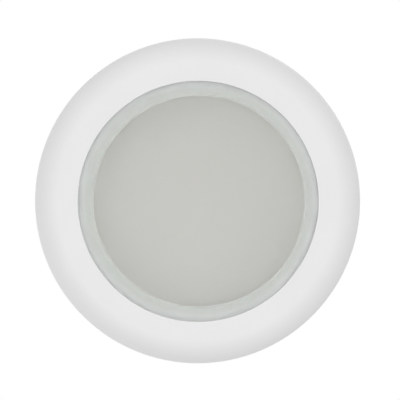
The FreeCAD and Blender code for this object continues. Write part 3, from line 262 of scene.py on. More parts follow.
def bezel_piece():
    outer, crown, rim = bezel_high.x, bezel_low.z, bezel_high.z
    shoulder = outer - BEZEL_ROUND
    face = [(WINDOW_RADIUS, crown + BEZEL_DOME), ((WINDOW_RADIUS + shoulder) / 2, crown + BEZEL_DOME / 4)]
    outside = quarter_roll((shoulder, rim), BEZEL_ROUND, rim - crown, ROLL_POWER)
    inside = quarter_roll((shoulder, rim), BEZEL_ROUND - BEZEL_WALL, rim - crown - BEZEL_WALL)
    lip = WINDOW_RADIUS + LIP_WALL
    shell = face + outside + inside[::-1]
    shell += [(lip, crown + BEZEL_WALL), (lip, LIP_TOP), (WINDOW_RADIUS, LIP_TOP)]
    rim_corner = len(face) + len(outside) - 1
    ease = [0.0] * len(shell)
    ease[0] = LIP_EDGE
    ease[rim_corner] = ease[rim_corner + 1] = 0.35
    ease[-2] = ease[-1] = 0.3
    data = bmesh.new()
    spin(data, rounded(shell, ease, steps=5), segments=288)
    for n in range(3):
        wedge(data, LUG_REACH, LUG_LEVELS, n * 120, LUG_WIDTH)
    return piece_from("bezel_casting", data)


bezel = stands_for(bezel_piece(), "bezel", "bezel_white", "bezel")
print("bezel faces:", len(bezel.data.polygons))

# %% [markdown]
# ## The glass and its gasket
# The glass is a pressed and ground disc with a step: its rim is clamped on a silicone gasket, and its
# boss comes down almost flush with the bezel. Its face is polished and its back is sandblasted over
# the light, so the band of gasket next to the bezel is seen sharply, while the bowl is only a glow.

# %% Glass and gasket
BOSS_RADIUS = 33.0
STEP_LEVEL = -5.2
LIGHT_RADIUS = 29.25
SEAT_FACE = -1.9
GASKET_INNER = 36.2
GLASS_FILM = 0.03                # the silicone stands this far off the glass, so no two faces coincide
BORE_SHIFT = 0.27                # the soft gasket's mouth lies this far off centre, along X


def glass_piece():
    outline = [(0, glass_low.z), (BOSS_RADIUS, glass_low.z), (BOSS_RADIUS, STEP_LEVEL),
               (glass_high.x, STEP_LEVEL), (glass_high.x, glass_high.z), (0, glass_high.z)]
    return turned("glass_disc", rounded(outline, [0, 0.08, 0.3, 0.3, 0.4, 0], steps=5), segments=256)


def gasket_piece():
    gasket_high = span("lens_gasket")[1]
    low = glass_high.z + GLASS_FILM
    outline = [(LIGHT_RADIUS, low), (GASKET_INNER, low), (GASKET_INNER, STEP_LEVEL),
               (gasket_high.x, STEP_LEVEL), (gasket_high.x, SEAT_FACE), (LIGHT_RADIUS, SEAT_FACE)]
    piece = turned("gasket_ring", rounded(outline, [0.25, 0, 0.2, 0.2, 0.2, 0.25]), segments=256)
    for vert in piece.data.vertices:
        if math.hypot(vert.co.x, vert.co.y) < (LIGHT_RADIUS + 1) * MM:
            vert.co.x += BORE_SHIFT * MM
    return piece


glass = stands_for(glass_piece(), "root", "frosted_glass", "glass_lens")
stands_for(gasket_piece(), "root", "pale_silicone", "lens_gasket")
print("glass diameter mm:", round(glass.dimensions.x / MM, 2))

# %% [markdown]
# ## The bowl and the foam ring
# The reflector is a thin moulded bowl that spreads the light. The foam ring seals the lamp to the
# board: it is punched from sheet, so its walls are straight and only its edges are soft.

# %% Reflector and soffit gasket
REFLECTOR_WALL = 0.8
REFLECTOR_NECK = 9.5
BOWL_SWELL = 3.2                 # how far the bowl stands out from a straight cone
FOAM_INNER = 35.0


def reflector_piece():
    low, high = span("reflector")
    neck, mouth = REFLECTOR_NECK, LIGHT_RADIUS
    inside = []
    for k in range(25):
        share = k / 24
        swell = 4 * share * (1 - share)
        inside.append((mouth + (neck - mouth) * share + BOWL_SWELL * swell, low.z + (high.z - low.z) * share))
    outside = [(r + REFLECTOR_WALL * 0.8, z + REFLECTOR_WALL * 0.6) for r, z in reversed(inside[2:-1])]
    rim = [(mouth + REFLECTOR_WALL, low.z + REFLECTOR_WALL), (high.x, low.z + REFLECTOR_WALL), (high.x, low.z)]
    neck_top = [(neck + REFLECTOR_WALL, high.z)]
    return turned("reflector_bowl", inside + neck_top + outside + rim, segments=192)


def foam_piece():
    low, high = span("soffit_gasket")
    outline = [(FOAM_INNER, low.z), (high.x, low.z), (high.x, high.z), (FOAM_INNER, high.z)]
    return turned("foam_ring", rounded(outline, 0.35, steps=4), segments=224)


reflector = stands_for(reflector_piece(), "root", "reflector_white", "reflector")
stands_for(foam_piece(), "root", "grey_foam", "soffit_gasket")
print("bowl depth mm:", round(reflector.dimensions.z / MM, 2))

# %% [markdown]
# ## The torsion springs
# Each clip is driven by a spring wound round its pin: one leg stands in the bracket, the turns run
# along the pin, and the other leg lies on the arm. When the arm swings up the turns wind tighter. So
# the wire is one tube wound along the pin, and both legs stay straight.

# %% A wire along a line of points
SPRING_RADIUS = 2.5
WIRE_RADIUS = 0.5
SPRING_PITCH = 1.55
SPRING_TURNS = 3.5               # less the arm's lean
FIXED_LEG = 4.7
ARM_LEG = 8.5
ARM_LEAN = 16.58                 # how far the arm stands out from straight down at rest, degrees


def wire(data, points, radius, sides=16):
    """A round wire along points in mm, with eased ends, added to the mesh data."""
    path = [Vector(p) for p in points]
    last = len(path) - 1
    ways = [(path[min(n + 1, last)] - path[max(n - 1, 0)]).normalized() for n in range(len(path))]
    side = ways[0].orthogonal().normalized()
    rows = []
    for point, way in zip(path, ways):
        side = (side - way * side.dot(way)).normalized()
        other = way.cross(side)
        rows.append([data.verts.new((point + (side * math.cos(a) + other * math.sin(a)) * radius) * MM)
                     for a in (2 * math.pi * k / sides for k in range(sides))])
    for first, second in zip(rows, rows[1:]):
        for k in range(sides):
            after = (k + 1) % sides
            data.faces.new((first[k], first[after], second[after], second[k]))
    for row, point, way in ((rows[0], path[0], -ways[0]), (rows[-1], path[-1], ways[-1])):
        tip = [data.verts.new((point + way * radius * 0.3) * MM + (v.co - point * MM) * 0.7) for v in row]
        for k in range(sides):
            after = (k + 1) % sides
            data.faces.new((row[k], row[after], tip[after], tip[k]))
        data.faces.new(tip)


def spring_line(steps_per_turn=40):
    """The wire's line about a pin at the origin, drawn for the +X clip."""
    total = SPRING_TURNS * 360 - ARM_LEAN
    width = SPRING_PITCH * total / 360
    count = round(steps_per_turn * total / 360)
    turns = []
    for n in range(count + 1):
        angle = math.radians(180 - total * n / count)
        turns.append(Vector((SPRING_RADIUS * math.cos(angle), -width / 2 + width * n / count,
                             SPRING_RADIUS * math.sin(angle))))
    lean = math.radians(ARM_LEAN)
    start = [turns[0] + Vector((0, 0, -FIXED_LEG * share)) for share in (1.0, 0.66, 0.33)]
    leg = Vector((math.sin(lean), 0, -math.cos(lean))) * ARM_LEG
    end = [turns[-1] + leg * share for share in (0.33, 0.66, 1.0)]
    return start + turns + end, width


def spring_piece(side):
    """One spring; the left one is the right one turned half round the lamp's axis."""
    pin_low, pin_high = span("clip_pin_" + side)
    pin = (pin_low + pin_high) / 2
    turn = 1 if side == "right" else -1
    line, width = spring_line()
    data = bmesh.new()
    wire(data, [Vector((pin.x + turn * p.x, turn * p.y, pin.z + p.z)) for p in line], WIRE_RADIUS)
    piece = piece_from("torsion_spring_" + side, data)
    takes_finish(piece, "spring_steel")
    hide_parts("clip_spring_" + side)
    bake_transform(piece)
    return piece


springs = [spring_piece(side) for side in ("right", "left")]
print("spring wire faces:", [len(s.data.polygons) for s in springs])

# %% [markdown]
# ## Screws with driven heads
# Small screws are bought parts, and their heads catch the eye: a domed pan head with a cross, a cheese
# head with a slot in the terminals, a cap head with a socket in the heat sink. The recess could be
# cut with a boolean, but a head is small, so a fine disc whose middle is pressed down is simpler.
# Their places and sizes are read from the loose parts of the CAD nodes.

# %% Loose parts of a node
def loose_parts(node):
    """The lowest and highest corner, in mm, of each separate solid of a node."""
    data = bmesh.new()
    data.from_mesh(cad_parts[node].data)
    bmesh.ops.remove_doubles(data, verts=data.verts, dist=1e-6)
    data.verts.ensure_lookup_table()
    seen = set()
    found = []
    for start in data.verts:
        if start in seen:
            continue
        part, waiting = [], [start]
        seen.add(start)
        while waiting:
            vert = waiting.pop()
            part.append(vert.co.copy())
            for edge in vert.link_edges:
                other = edge.other_vert(vert)
                if other not in seen:
                    seen.add(other)
                    waiting.append(other)
        low = Vector([min(p[k] for p in part) for k in range(3)]) / MM
        high = Vector([max(p[k] for p in part) for k in range(3)]) / MM
        found.append((low, high))
    data.free()
    return found


cover_screw_places = loose_parts("driver_cover_screws")
print("cover screws at", [[round(v, 1) for v in (low + high) / 2] for low, high in cover_screw_places])

# %% Screw heads and shanks
AXES = {"x": (1, 2, 0), "y": (0, 2, 1), "z": (0, 1, 2)}
SHANK_SHARE = 0.53               # shank's radius as a share of the head's


def cross_depth(x, y, head):
    """How deep a cross recess is, as a share, at a place on the head."""
    arm, reach = head * 0.17, head * 0.62
    inside = min(abs(x), abs(y)) < arm and max(abs(x), abs(y)) < reach
    return 1.0 - 0.55 * max(abs(x), abs(y)) / reach if inside else 0.0


def slot_depth(x, y, head):
    return 0.8 if abs(y) < head * 0.16 else 0.0


def hexagon_depth(x, y, head):
    across = head * 0.46
    inside = all(abs(x * math.cos(a) + y * math.sin(a)) < across for a in (0, math.pi / 3, 2 * math.pi / 3))
    return 1.0 if inside else 0.0


def screw(data, low, high, along, out, head_height, dome, recess, deep, flush=False):
    """One screw in its CAD box, head on the out side; dome and deep are shares of the head's radius."""
    first, second, third = AXES[along]
    centre = ((low[first] + high[first]) / 2, (low[second] + high[second]) / 2)
    head = (high[first] - low[first]) / 2
    crown, tip = (high[third], low[third]) if out > 0 else (low[third], high[third])
    base = crown - out * head_height
    shank = head * SHANK_SHARE
    sides = 48
    turns = [2 * math.pi * s / sides for s in range(sides)]

    def level(x, y):
        across = math.hypot(x, y) / head
        return crown - out * head * (dome * across ** 2 + recess(x, y, head) * deep)

    def ring_of_points(radius, height=None):
        spots = [(radius * math.cos(a), radius * math.sin(a)) for a in turns]
        return [data.verts.new(placed(x, y, level(x, y) if height is None else height, centre, along))
                for x, y in spots]

    rings = 13
    rows = [ring_of_points(head * 0.94 * (k + 1) / rings) for k in range(rings)]
    edge = crown - out * head * dome
    outline = [(head * 0.985, edge - out * head * 0.015), (head, edge - out * head * 0.06)]
    outline += [(shank, base)] if flush else [(head, base), (shank, base)]
    outline += [(shank, tip + out * head * 0.12), (shank * 0.8, tip)]
    rows += [ring_of_points(radius, height) for radius, height in outline]
    middle = data.verts.new(placed(0, 0, level(0, 0), centre, along))
    for s in range(sides):
        after = (s + 1) % sides
        data.faces.new((middle, rows[0][s], rows[0][after]))
        for one, two in zip(rows, rows[1:]):
            data.faces.new((one[s], one[after], two[after], two[s]))
    data.faces.new(rows[-1])


def screw_set(node, slot, along, out, *shape, **more):
    data = bmesh.new()
    for low, high in loose_parts(node):
        screw(data, low, high, along, out, *shape, **more)
    return stands_for(piece_from(node + "_driven", data), "root", slot, node)


screws = [
    screw_set("driver_cover_screws", "bright_screw", "z", 1, 0.9, 0.0, cross_depth, 0.42, flush=True),
    screw_set("cable_clamp_screws", "bright_screw", "z", 1, 1.4, 0.3, cross_depth, 0.42),
    screw_set("terminal_screws", "terminal_steel", "z", 1, 2.2, 0.1, slot_depth, 0.5),
    screw_set("terminal_box_screws", "bright_screw", "z", 1, 1.8, 0.3, cross_depth, 0.42),
    screw_set("heatsink_screws", "bright_screw", "z", 1, 2.4, 0.05, hexagon_depth, 0.5),
    screw_set("retaining_ring_screws", "bright_screw", "z", -1, 0.75, 0.0, cross_depth, 0.36, flush=True),
    screw_set("clip_bracket_screw_right", "bright_screw", "x", 1, 1.15, 0.0, cross_depth, 0.42, flush=True),
    screw_set("clip_bracket_screw_left", "bright_screw", "x", -1, 1.15, 0.0, cross_depth, 0.42, flush=True),
]
print("screws:", sum(len(loose_parts(s.name[:-7])) for s in screws))

# %% [markdown]
# ## Pins and the cable grommet
# The clip pins are riveted: a shank with a low domed head at each end. The hinge pin is a plain rod.
# The grommet is moulded soft, with a groove that grips the box's wall and ribs on its nose.

# %% Pins and grommet
PIN_RADIUS = 1.5
PIN_HEAD = 0.6
INLET_RADIUS = 3.3
HUB_WALL = 1.5
BOX_WALL = 1.8
RIB_DEPTH = 0.45


def clip_pin_piece(side):
    low, high = span("clip_pin_" + side)
    head = (high.x - low.x) / 2
    half = high.y
    neck = half - PIN_HEAD
    outline = [(0, -half), (head * 0.55, -half + 0.04), (head * 0.9, -half + 0.2), (head, -half + 0.42),
               (head, -neck), (PIN_RADIUS, -neck), (PIN_RADIUS, neck), (head, neck), (head, half - 0.42),
               (head * 0.9, half - 0.2), (head * 0.55, half - 0.04), (0, half)]
    centre = ((low.x + high.x) / 2, (low.z + high.z) / 2)
    piece = turned("rivet_pin_" + side, outline, segments=64, centre=centre, along="y")
    return stands_for(piece, "root", "bright_screw", "clip_pin_" + side)


def grommet_piece():
    low, high = span("cable_grommet")
    wall_out = span("terminal_box")[1].y
    wall_in = wall_out - BOX_WALL
    lip = (high.x - low.x) / 2
    hub = INLET_RADIUS + HUB_WALL
    outline = [(INLET_RADIUS, low.y), (lip, low.y), (lip, wall_in), (hub, wall_in), (hub, wall_out),
               (lip, wall_out), (lip, wall_out + 1.2)]
    ease = [0.25, 0.5, 0.3, 0, 0, 0.3, 0.5]
    for start in (wall_out + 1.4, wall_out + 2.4):
        low_rib = hub - RIB_DEPTH
        outline += [(low_rib, start), (low_rib, start + 0.35), (hub, start + 0.45), (hub, start + 0.9)]
        ease += [0.1, 0.1, 0.12, 0.12]
    outline += [(hub - 0.5, high.y), (INLET_RADIUS, high.y)]
    ease += [0.3, 0.25]
    centre = (0.0, (low.z + high.z) / 2)
    piece = turned("inlet_grommet", rounded(outline, ease, steps=3), segments=96, centre=centre, along="y")
    return stands_for(piece, "root", "dark_silicone", "cable_grommet")


for side in ("right", "left"):
    clip_pin_piece(side)
grommet = grommet_piece()
print("grommet length mm:", round(grommet.dimensions.y / MM, 2))

# %% [markdown]
# ## Shader node groups
# Several finishes share the same effects, so each effect is built once as a node group and placed in
# the materials with its own values. A group only gives colours, masks, values and normals. The
# coordinates are the object's own, in millimetres, so the grain has its real size and stays on a
# piece when it moves.

# %% Node helpers
def feed(tree, socket, value):
    """Links an input to another node's output, or sets it to a plain value."""
    if isinstance(value, bpy.types.NodeSocket):
        tree.links.new(value, socket)
    else:
        socket.default_value = value


def add(tree, kind, links=None, **settings):
    """A shader node with its settings; links gives its inputs, as sockets or as values."""
    made = tree.nodes.new("ShaderNode" + kind)
    for key, value in settings.items():
        setattr(made, key, value)
    for key, value in (links or {}).items():
        feed(tree, made.inputs[key], value)
    return made


NUMBER, VECTOR = "NodeSocketFloat", "NodeSocketVector"


def new_group(name, inputs, outputs):
    """An empty node group with named number inputs and outputs, and its two end nodes."""
    tree = bpy.data.node_groups.new(name, "ShaderNodeTree")
    for label, value in inputs:
        socket = tree.interface.new_socket(label, in_out="INPUT", socket_type=NUMBER)
        socket.default_value = value
    for label, kind in outputs:
        tree.interface.new_socket(label, in_out="OUTPUT", socket_type=kind)
    return tree, tree.nodes.new("NodeGroupInput").outputs, tree.nodes.new("NodeGroupOutput").inputs


def in_mm(tree):
    """The object's own coordinates in millimetres."""
    place = add(tree, "TexCoord").outputs["Object"]
    return add(tree, "VectorMath", {0: place, "Scale": 1 / MM}, operation="SCALE").outputs["Vector"]


def maths(tree, operation, first, second=0.0, third=0.0, clamp=False):
    links = {0: first, 1: second, 2: third}
    return add(tree, "Math", links, operation=operation, use_clamp=clamp).outputs[0]


def stretch(tree, value, low, high):
    """The value taken from low..high to 0..1."""
    links = {"Value": value, "From Min": low, "From Max": high}
    return add(tree, "MapRange", links, clamp=True, interpolation_type="SMOOTHSTEP").outputs[0]


def from_axis(tree, shift=0.0):
    """Distance in mm from the lamp's axis, or from a line beside it, moved by the shift along X."""
    beside = add(tree, "VectorMath", {0: in_mm(tree), 1: (shift, 0.0, 0.0)}, operation="SUBTRACT").outputs[0]
    flat = add(tree, "VectorMath", {0: beside, 1: (1.0, 1.0, 0.0)}, operation="MULTIPLY").outputs[0]
    return add(tree, "VectorMath", {0: flat}, operation="LENGTH").outputs["Value"]


def noise(tree, place, scale, detail, roughness, distortion=0.0):
    links = {"Vector": place, "Scale": scale, "Detail": detail,
             "Roughness": roughness, "Distortion": distortion}
    return add(tree, "TexNoise", links).outputs[0]


print("node helpers ready")


# %% Group: soft edges
def soft_edges_group():
    """Rounds the shading at sharp edges and gives a mask of them."""
    tree, given, out = new_group(
        "Soft edges", [("Radius", 0.25)], [("Normal", VECTOR), ("Edge", NUMBER)])
    metres = maths(tree, "MULTIPLY", given["Radius"], MM)
    bevel = add(tree, "Bevel", {"Radius": metres}, samples=4).outputs[0]
    flat = add(tree, "NewGeometry").outputs["Normal"]
    dot = add(tree, "VectorMath", {0: bevel, 1: flat}, operation="DOT_PRODUCT").outputs["Value"]
    turn = maths(tree, "SUBTRACT", 1.0, dot)
    tree.links.new(bevel, out["Normal"])
    tree.links.new(stretch(tree, turn, 0.01, 0.16), out["Edge"])
    return tree


SOFT_EDGES = soft_edges_group()
print("group:", SOFT_EDGES.name)


# %% Group: fine grain
def fine_grain_group():
    """Small irregular grain, as on moulded plastic or paint; Size is in mm."""
    tree, given, out = new_group(
        "Fine grain", [("Size", 0.4), ("Detail", 3.0)], [("Value", NUMBER), ("Cloud", NUMBER)])
    place = in_mm(tree)
    grain = noise(tree, place, maths(tree, "DIVIDE", 1.0, given["Size"]), given["Detail"], 0.55)
    cloud = noise(tree, place, maths(tree, "DIVIDE", 0.04, given["Size"]), 3.0, 0.6)
    tree.links.new(grain, out["Value"])
    tree.links.new(stretch(tree, cloud, 0.3, 0.7), out["Cloud"])
    return tree


FINE_GRAIN = fine_grain_group()
print("group:", FINE_GRAIN.name)


# %% Group: drawn lines
def drawn_lines_group():
    """Long fine scratches along one axis, as on rolled sheet, drawn wire or a turned face."""
    tree, given, out = new_group(
        "Drawn lines", [("X", 1.0), ("Y", 1.0), ("Z", 1.0), ("Size", 0.3)], [("Value", NUMBER)])
    along = add(tree, "CombineXYZ", {"X": given["X"], "Y": given["Y"], "Z": given["Z"]}).outputs[0]
    place = add(tree, "VectorMath", {0: in_mm(tree), 1: along}, operation="MULTIPLY").outputs["Vector"]
    streaks = noise(tree, place, maths(tree, "DIVIDE", 1.0, given["Size"]), 4.0, 0.65)
    tree.links.new(stretch(tree, streaks, 0.3, 0.7), out["Value"])
    return tree


DRAWN_LINES = drawn_lines_group()
print("group:", DRAWN_LINES.name)


# %% Group: worn edges
def worn_edges_group():
    """Breaks an edge mask up, so that wear comes in short patches."""
    tree, given, out = new_group(
        "Worn edges", [("Edge", 0.0), ("Amount", 0.5), ("Size", 2.0)], [("Mask", NUMBER)])
    uneven = noise(tree, in_mm(tree), maths(tree, "DIVIDE", 1.0, given["Size"]), 5.0, 0.7)
    start = maths(tree, "SUBTRACT", 0.85, maths(tree, "MULTIPLY", given["Amount"], 0.5))
    patches = stretch(tree, uneven, maths(tree, "SUBTRACT", start, 0.08), start)
    tree.links.new(maths(tree, "MULTIPLY", given["Edge"], patches, clamp=True), out["Mask"])
    return tree


WORN_EDGES = worn_edges_group()
print("group:", WORN_EDGES.name)


# %% Group: settled dust
def settled_dust_group():
    """Roof-space dust on faces that look up."""
    tree, given, out = new_group("Settled dust", [("Amount", 0.3)], [("Mask", NUMBER)])
    up = add(tree, "SeparateXYZ", {0: add(tree, "TexCoord").outputs["Normal"]}).outputs["Z"]
    flat = stretch(tree, up, 0.35, 1.0)
    patches = stretch(tree, noise(tree, in_mm(tree), 0.22, 6.0, 0.75), 0.32, 0.72)
    spread = maths(tree, "MULTIPLY_ADD", patches, 0.8, 0.2)
    tree.links.new(maths(tree, "MULTIPLY", maths(tree, "MULTIPLY", flat, spread), given["Amount"]), out["Mask"])
    return tree


SETTLED_DUST = settled_dust_group()
print("group:", SETTLED_DUST.name)


# %% Group: cast skin
def cast_skin_group():
    """The skin of a pressure casting: faint flow marks with small pits."""
    tree, given, out = new_group(
        "Cast skin", [("Size", 0.6)], [("Height", NUMBER), ("Flow", NUMBER)])
    place = in_mm(tree)
    fine = maths(tree, "DIVIDE", 1.0, given["Size"])
    grain = noise(tree, place, fine, 6.0, 0.6)
    flow = noise(tree, place, maths(tree, "MULTIPLY", fine, 0.09), 4.0, 0.5, distortion=1.2)
    cells = add(tree, "TexVoronoi", {"Vector": place, "Scale": maths(tree, "MULTIPLY", fine, 0.6)})
    pits = stretch(tree, cells.outputs["Distance"], 0.05, 0.3)
    tree.links.new(maths(tree, "MULTIPLY_ADD", grain, 0.6, maths(tree, "MULTIPLY", pits, 0.4)), out["Height"])
    tree.links.new(stretch(tree, flow, 0.3, 0.7), out["Flow"])
    return tree


CAST_SKIN = cast_skin_group()
print("group:", CAST_SKIN.name)

# %% [markdown]
# ## Materials
# Each finish of the record gets one material. All start from the same four nodes: a Principled
# shader and its output, the soft edges that round its shading, and a bump. Then each adds what its
# real surface shows. Colours are written as they should look on screen, and turned into light
# values here.

# %% What every material starts from
DUST = (0.46, 0.44, 0.40, 1.0)


def screen(red, green, blue):
    """A colour as it looks on screen, 0 to 255, as light values."""
    shares = [v / 255 for v in (red, green, blue)]
    return tuple(v / 12.92 if v <= 0.04045 else ((v + 0.055) / 1.055) ** 2.4 for v in shares) + (1.0,)


def placed_group(tree, group, **inputs):
    return add(tree, "Group", inputs, node_tree=group).outputs


def mixed(tree, share, first, second):
    """A colour between two, by a mask."""
    return add(tree, "Mix", {0: share, 6: first, 7: second}, data_type="RGBA").outputs[2]


finishes = {}                    # each slot's material


def start_finish(slot, roughness, metallic=0.0, edge=0.25, **plain):
    """Begins the slot's material: gives its node tree, its shader and the outputs of its soft edges."""
    material = finishes[slot] = bpy.data.materials.new("finish_" + slot)
    material.use_nodes = True
    tree = material.node_tree
    tree.nodes.clear()
    shader = add(tree, "BsdfPrincipled", {"Roughness": roughness, "Metallic": metallic, **plain})
    add(tree, "OutputMaterial", {"Surface": shader.outputs[0]})
    return tree, shader, placed_group(tree, SOFT_EDGES, Radius=edge)


def give(tree, shader, colour, roughness=None):
    tree.links.new(colour, shader.inputs["Base Color"])
    if roughness is not None:
        tree.links.new(roughness, shader.inputs["Roughness"])


def relief(tree, shader, edges, height, depth):
    """Bump of a height map, depth in mm, over the soft edges."""
    links = {"Strength": 1.0, "Distance": depth * MM, "Height": height, "Normal": edges["Normal"]}
    tree.links.new(add(tree, "Bump", links).outputs[0], shader.inputs["Normal"])


def shade(colour, share):
    """The colour made darker or lighter by a share."""
    return tuple(min(1.0, v * share) for v in colour[:3]) + (1.0,)


def worn_mask(tree, edges, amount, size):
    return placed_group(tree, WORN_EDGES, Edge=edges["Edge"], Amount=amount, Size=size)["Mask"]


def dust_mask(tree, amount):
    return placed_group(tree, SETTLED_DUST, Amount=amount)["Mask"]


print("white on screen 232 is", round(screen(232, 232, 232)[0], 3), "as light")

# %% [markdown]
# ### Powder coat, on the bezel and the housing
# Powder melts into a thick, even skin with a faint orange peel. The bezel's is clean, because it is
# seen. On the housing the same skin lies over the casting's own marks and carries some dust.

# %% Powder coats
BEZEL_TONE = (239, 239, 239)     # screen colours, 0 to 255


def bezel_coat():
    tree, shader, edges = start_finish("bezel_white", 0.42, edge=0.1)
    grain = placed_group(tree, FINE_GRAIN, Size=0.55, Detail=2.0)
    base = screen(*BEZEL_TONE)
    colour = mixed(tree, grain["Cloud"], shade(base, 0.985), base)
    worn = worn_mask(tree, edges, 0.25, 1.5)
    give(tree, shader, mixed(tree, maths(tree, "MULTIPLY", worn, 0.25), colour, screen(200, 200, 198)),
         maths(tree, "MULTIPLY_ADD", grain["Cloud"], 0.06, 0.38))
    relief(tree, shader, edges, grain["Value"], 0.018)


def housing_coat():
    tree, shader, edges = start_finish("housing_white", 0.5, edge=0.3)
    skin = placed_group(tree, CAST_SKIN, Size=0.9)
    base = screen(222, 222, 218)
    colour = mixed(tree, skin["Flow"], shade(base, 0.95), base)
    worn = worn_mask(tree, edges, 0.55, 2.0)
    colour = mixed(tree, maths(tree, "MULTIPLY", worn, 0.5), colour, screen(168, 169, 170))
    dust = dust_mask(tree, 0.35)
    give(tree, shader, mixed(tree, dust, colour, DUST), maths(tree, "MULTIPLY_ADD", dust, 0.35, 0.46))
    relief(tree, shader, edges, skin["Height"], 0.035)


bezel_coat()
housing_coat()
print("powder coats:", len(finishes))

# %% [markdown]
# ### Glass, clear in front and sandblasted behind
# One Principled shader does both: its transmission is plain, and only the roughness changes. A mask
# from the height in the disc and the distance from its axis is 1 on the back face over the light's
# mouth. The glass is a little green, as thick soda glass is.

# %% Frosted glass
POLISHED = 0.05                  # the clear face's roughness
FROST_START = -3.4               # height in mm above which the surface is sandblasted
FROST_RADIUS = 28.83             # the blasting ends at the light's mouth
GLASS_TONE = (251, 253, 252)
FROST_TONE = (254, 253, 252)


def frosted_glass():
    tree, shader, edges = start_finish(
        "frosted_glass", POLISHED, edge=0.03, **{"Transmission Weight": 1.0, "IOR": 1.5})
    height = add(tree, "SeparateXYZ", {0: in_mm(tree)}).outputs["Z"]
    behind = stretch(tree, height, FROST_START, FROST_START + 0.1)
    beyond = stretch(tree, from_axis(tree, BORE_SHIFT), FROST_RADIUS, FROST_RADIUS + 0.2)
    frosted = maths(tree, "MULTIPLY", behind, maths(tree, "SUBTRACT", 1.0, beyond))
    grain = placed_group(tree, FINE_GRAIN, Size=0.12, Detail=2.0)
    frost = maths(tree, "MULTIPLY_ADD", grain["Cloud"], 0.05, 0.9)
    rough = maths(tree, "MULTIPLY_ADD", frosted, maths(tree, "SUBTRACT", frost, POLISHED), POLISHED)
    give(tree, shader, mixed(tree, frosted, screen(*GLASS_TONE), screen(*FROST_TONE)), rough)
    relief(tree, shader, edges, maths(tree, "MULTIPLY", grain["Value"], frosted), 0.01)


frosted_glass()
print("glass IOR 1.5, frosted above z =", FROST_START)

# %% [markdown]
# ### Mouldings
# Plastics and rubbers share one recipe: a spark-eroded mould gives them fine grain, their colour
# clouds a little, their edges are polished paler by handling, and dust lies on what looks up.

# %% Moulded plastics and rubbers
BOWL_TONE = (246, 246, 243)


def moulded(slot, colour, roughness, grain=0.35, depth=0.02, wear=0.4, dust=0.25, pale=1.12, edge=0.25):
    tree, shader, edges = start_finish(slot, roughness, edge=edge)
    fine = placed_group(tree, FINE_GRAIN, Size=grain, Detail=3.0)
    tone = mixed(tree, fine["Cloud"], shade(colour, 0.93), colour)
    worn = worn_mask(tree, edges, wear, 1.6)
    tone = mixed(tree, maths(tree, "MULTIPLY", worn, 0.6), tone, shade(colour, pale))
    settled = dust_mask(tree, dust)
    rough = maths(tree, "MULTIPLY_ADD", fine["Value"], 0.12, roughness - 0.06)
    rough = maths(tree, "SUBTRACT", rough, maths(tree, "MULTIPLY", worn, 0.12))
    give(tree, shader, mixed(tree, settled, tone, DUST), maths(tree, "MULTIPLY_ADD", settled, 0.3, rough))
    relief(tree, shader, edges, fine["Value"], depth)


moulded("box_plastic", screen(186, 188, 188), 0.48, grain=0.5, depth=0.03, dust=0.3)
moulded("terminal_white", screen(228, 225, 214), 0.42, depth=0.012, dust=0.1)
moulded("holder_plastic", screen(236, 235, 228), 0.4, depth=0.012, dust=0.0)
moulded("dark_silicone", screen(58, 59, 61), 0.55, depth=0.015, dust=0.35, pale=1.5)
moulded("reflector_white", screen(*BOWL_TONE), 0.55, depth=0.006, wear=0.0, dust=0.0, pale=1.0)
moulded("thermal_grey", screen(150, 152, 155), 0.8, dust=0.0)
for lead, tone in (("lead_red", (172, 30, 26)), ("lead_black", (30, 30, 32)),
                   ("lead_brown", (104, 62, 38)), ("lead_blue", (38, 92, 168))):
    moulded(lead, screen(*tone), 0.4, depth=0.004, wear=0.0, dust=0.1, edge=0.1)
print("mouldings:", len(finishes) - 3)


# %% Pale silicone
SILICONE_TONE = (200, 201, 196)  # beside the light's mouth
PAINTED_LIGHT_TONE = (227, 227, 227)   # painted light: lighter towards the bezel, against the shade that its lip casts


def pale_silicone():
    tree, shader, edges = start_finish("pale_silicone", 0.5, edge=0.15)
    grain = placed_group(tree, FINE_GRAIN, Size=0.35, Detail=3.0)
    # Painted light: the band grows lighter towards the bezel, to lift the shade that the bezel's lip casts on
    # it.
    painted_light_share = stretch(tree, from_axis(tree), LIGHT_RADIUS + 1.0, BOSS_RADIUS)
    tone = mixed(tree, painted_light_share, screen(*SILICONE_TONE), screen(*PAINTED_LIGHT_TONE))
    tone = mixed(tree, maths(tree, "MULTIPLY", grain["Cloud"], 0.15), tone, screen(196, 200, 196))
    give(tree, shader, tone, maths(tree, "MULTIPLY_ADD", grain["Value"], 0.1, 0.45))
    relief(tree, shader, edges, grain["Value"], 0.01)


pale_silicone()
print("silicone tones:", SILICONE_TONE, PAINTED_LIGHT_TONE)

# %% [markdown]
# ### Foam
# Closed-cell foam is cut from a block, so its walls show opened cells. Voronoi cells give their rims.

# %% Grey foam
CELLS_PER_MM = 1.9


def grey_foam():
    tree, shader, edges = start_finish("grey_foam", 0.95, edge=0.3)
    links = {"Vector": in_mm(tree), "Scale": CELLS_PER_MM}
    cells = add(tree, "TexVoronoi", links, feature="DISTANCE_TO_EDGE").outputs[0]
    walls = stretch(tree, cells, 0.02, 0.22)
    grain = placed_group(tree, FINE_GRAIN, Size=0.25, Detail=3.0)
    colour = mixed(tree, walls, screen(116, 118, 120), screen(84, 86, 88))
    give(tree, shader, mixed(tree, maths(tree, "MULTIPLY", grain["Cloud"], 0.4), colour, screen(100, 102, 104)))
    relief(tree, shader, edges, maths(tree, "MULTIPLY_ADD", walls, -0.8, grain["Value"]), 0.08)


grey_foam()
print("foam cells about", round(1 / CELLS_PER_MM, 2), "mm")

# %% [markdown]
# ### Metals
# Rolled sheet, drawn wire and turned screws carry lines along the way they were made. The heat sink is
# a raw pressure casting: dull, with flow marks, brighter where its edges have rubbed.

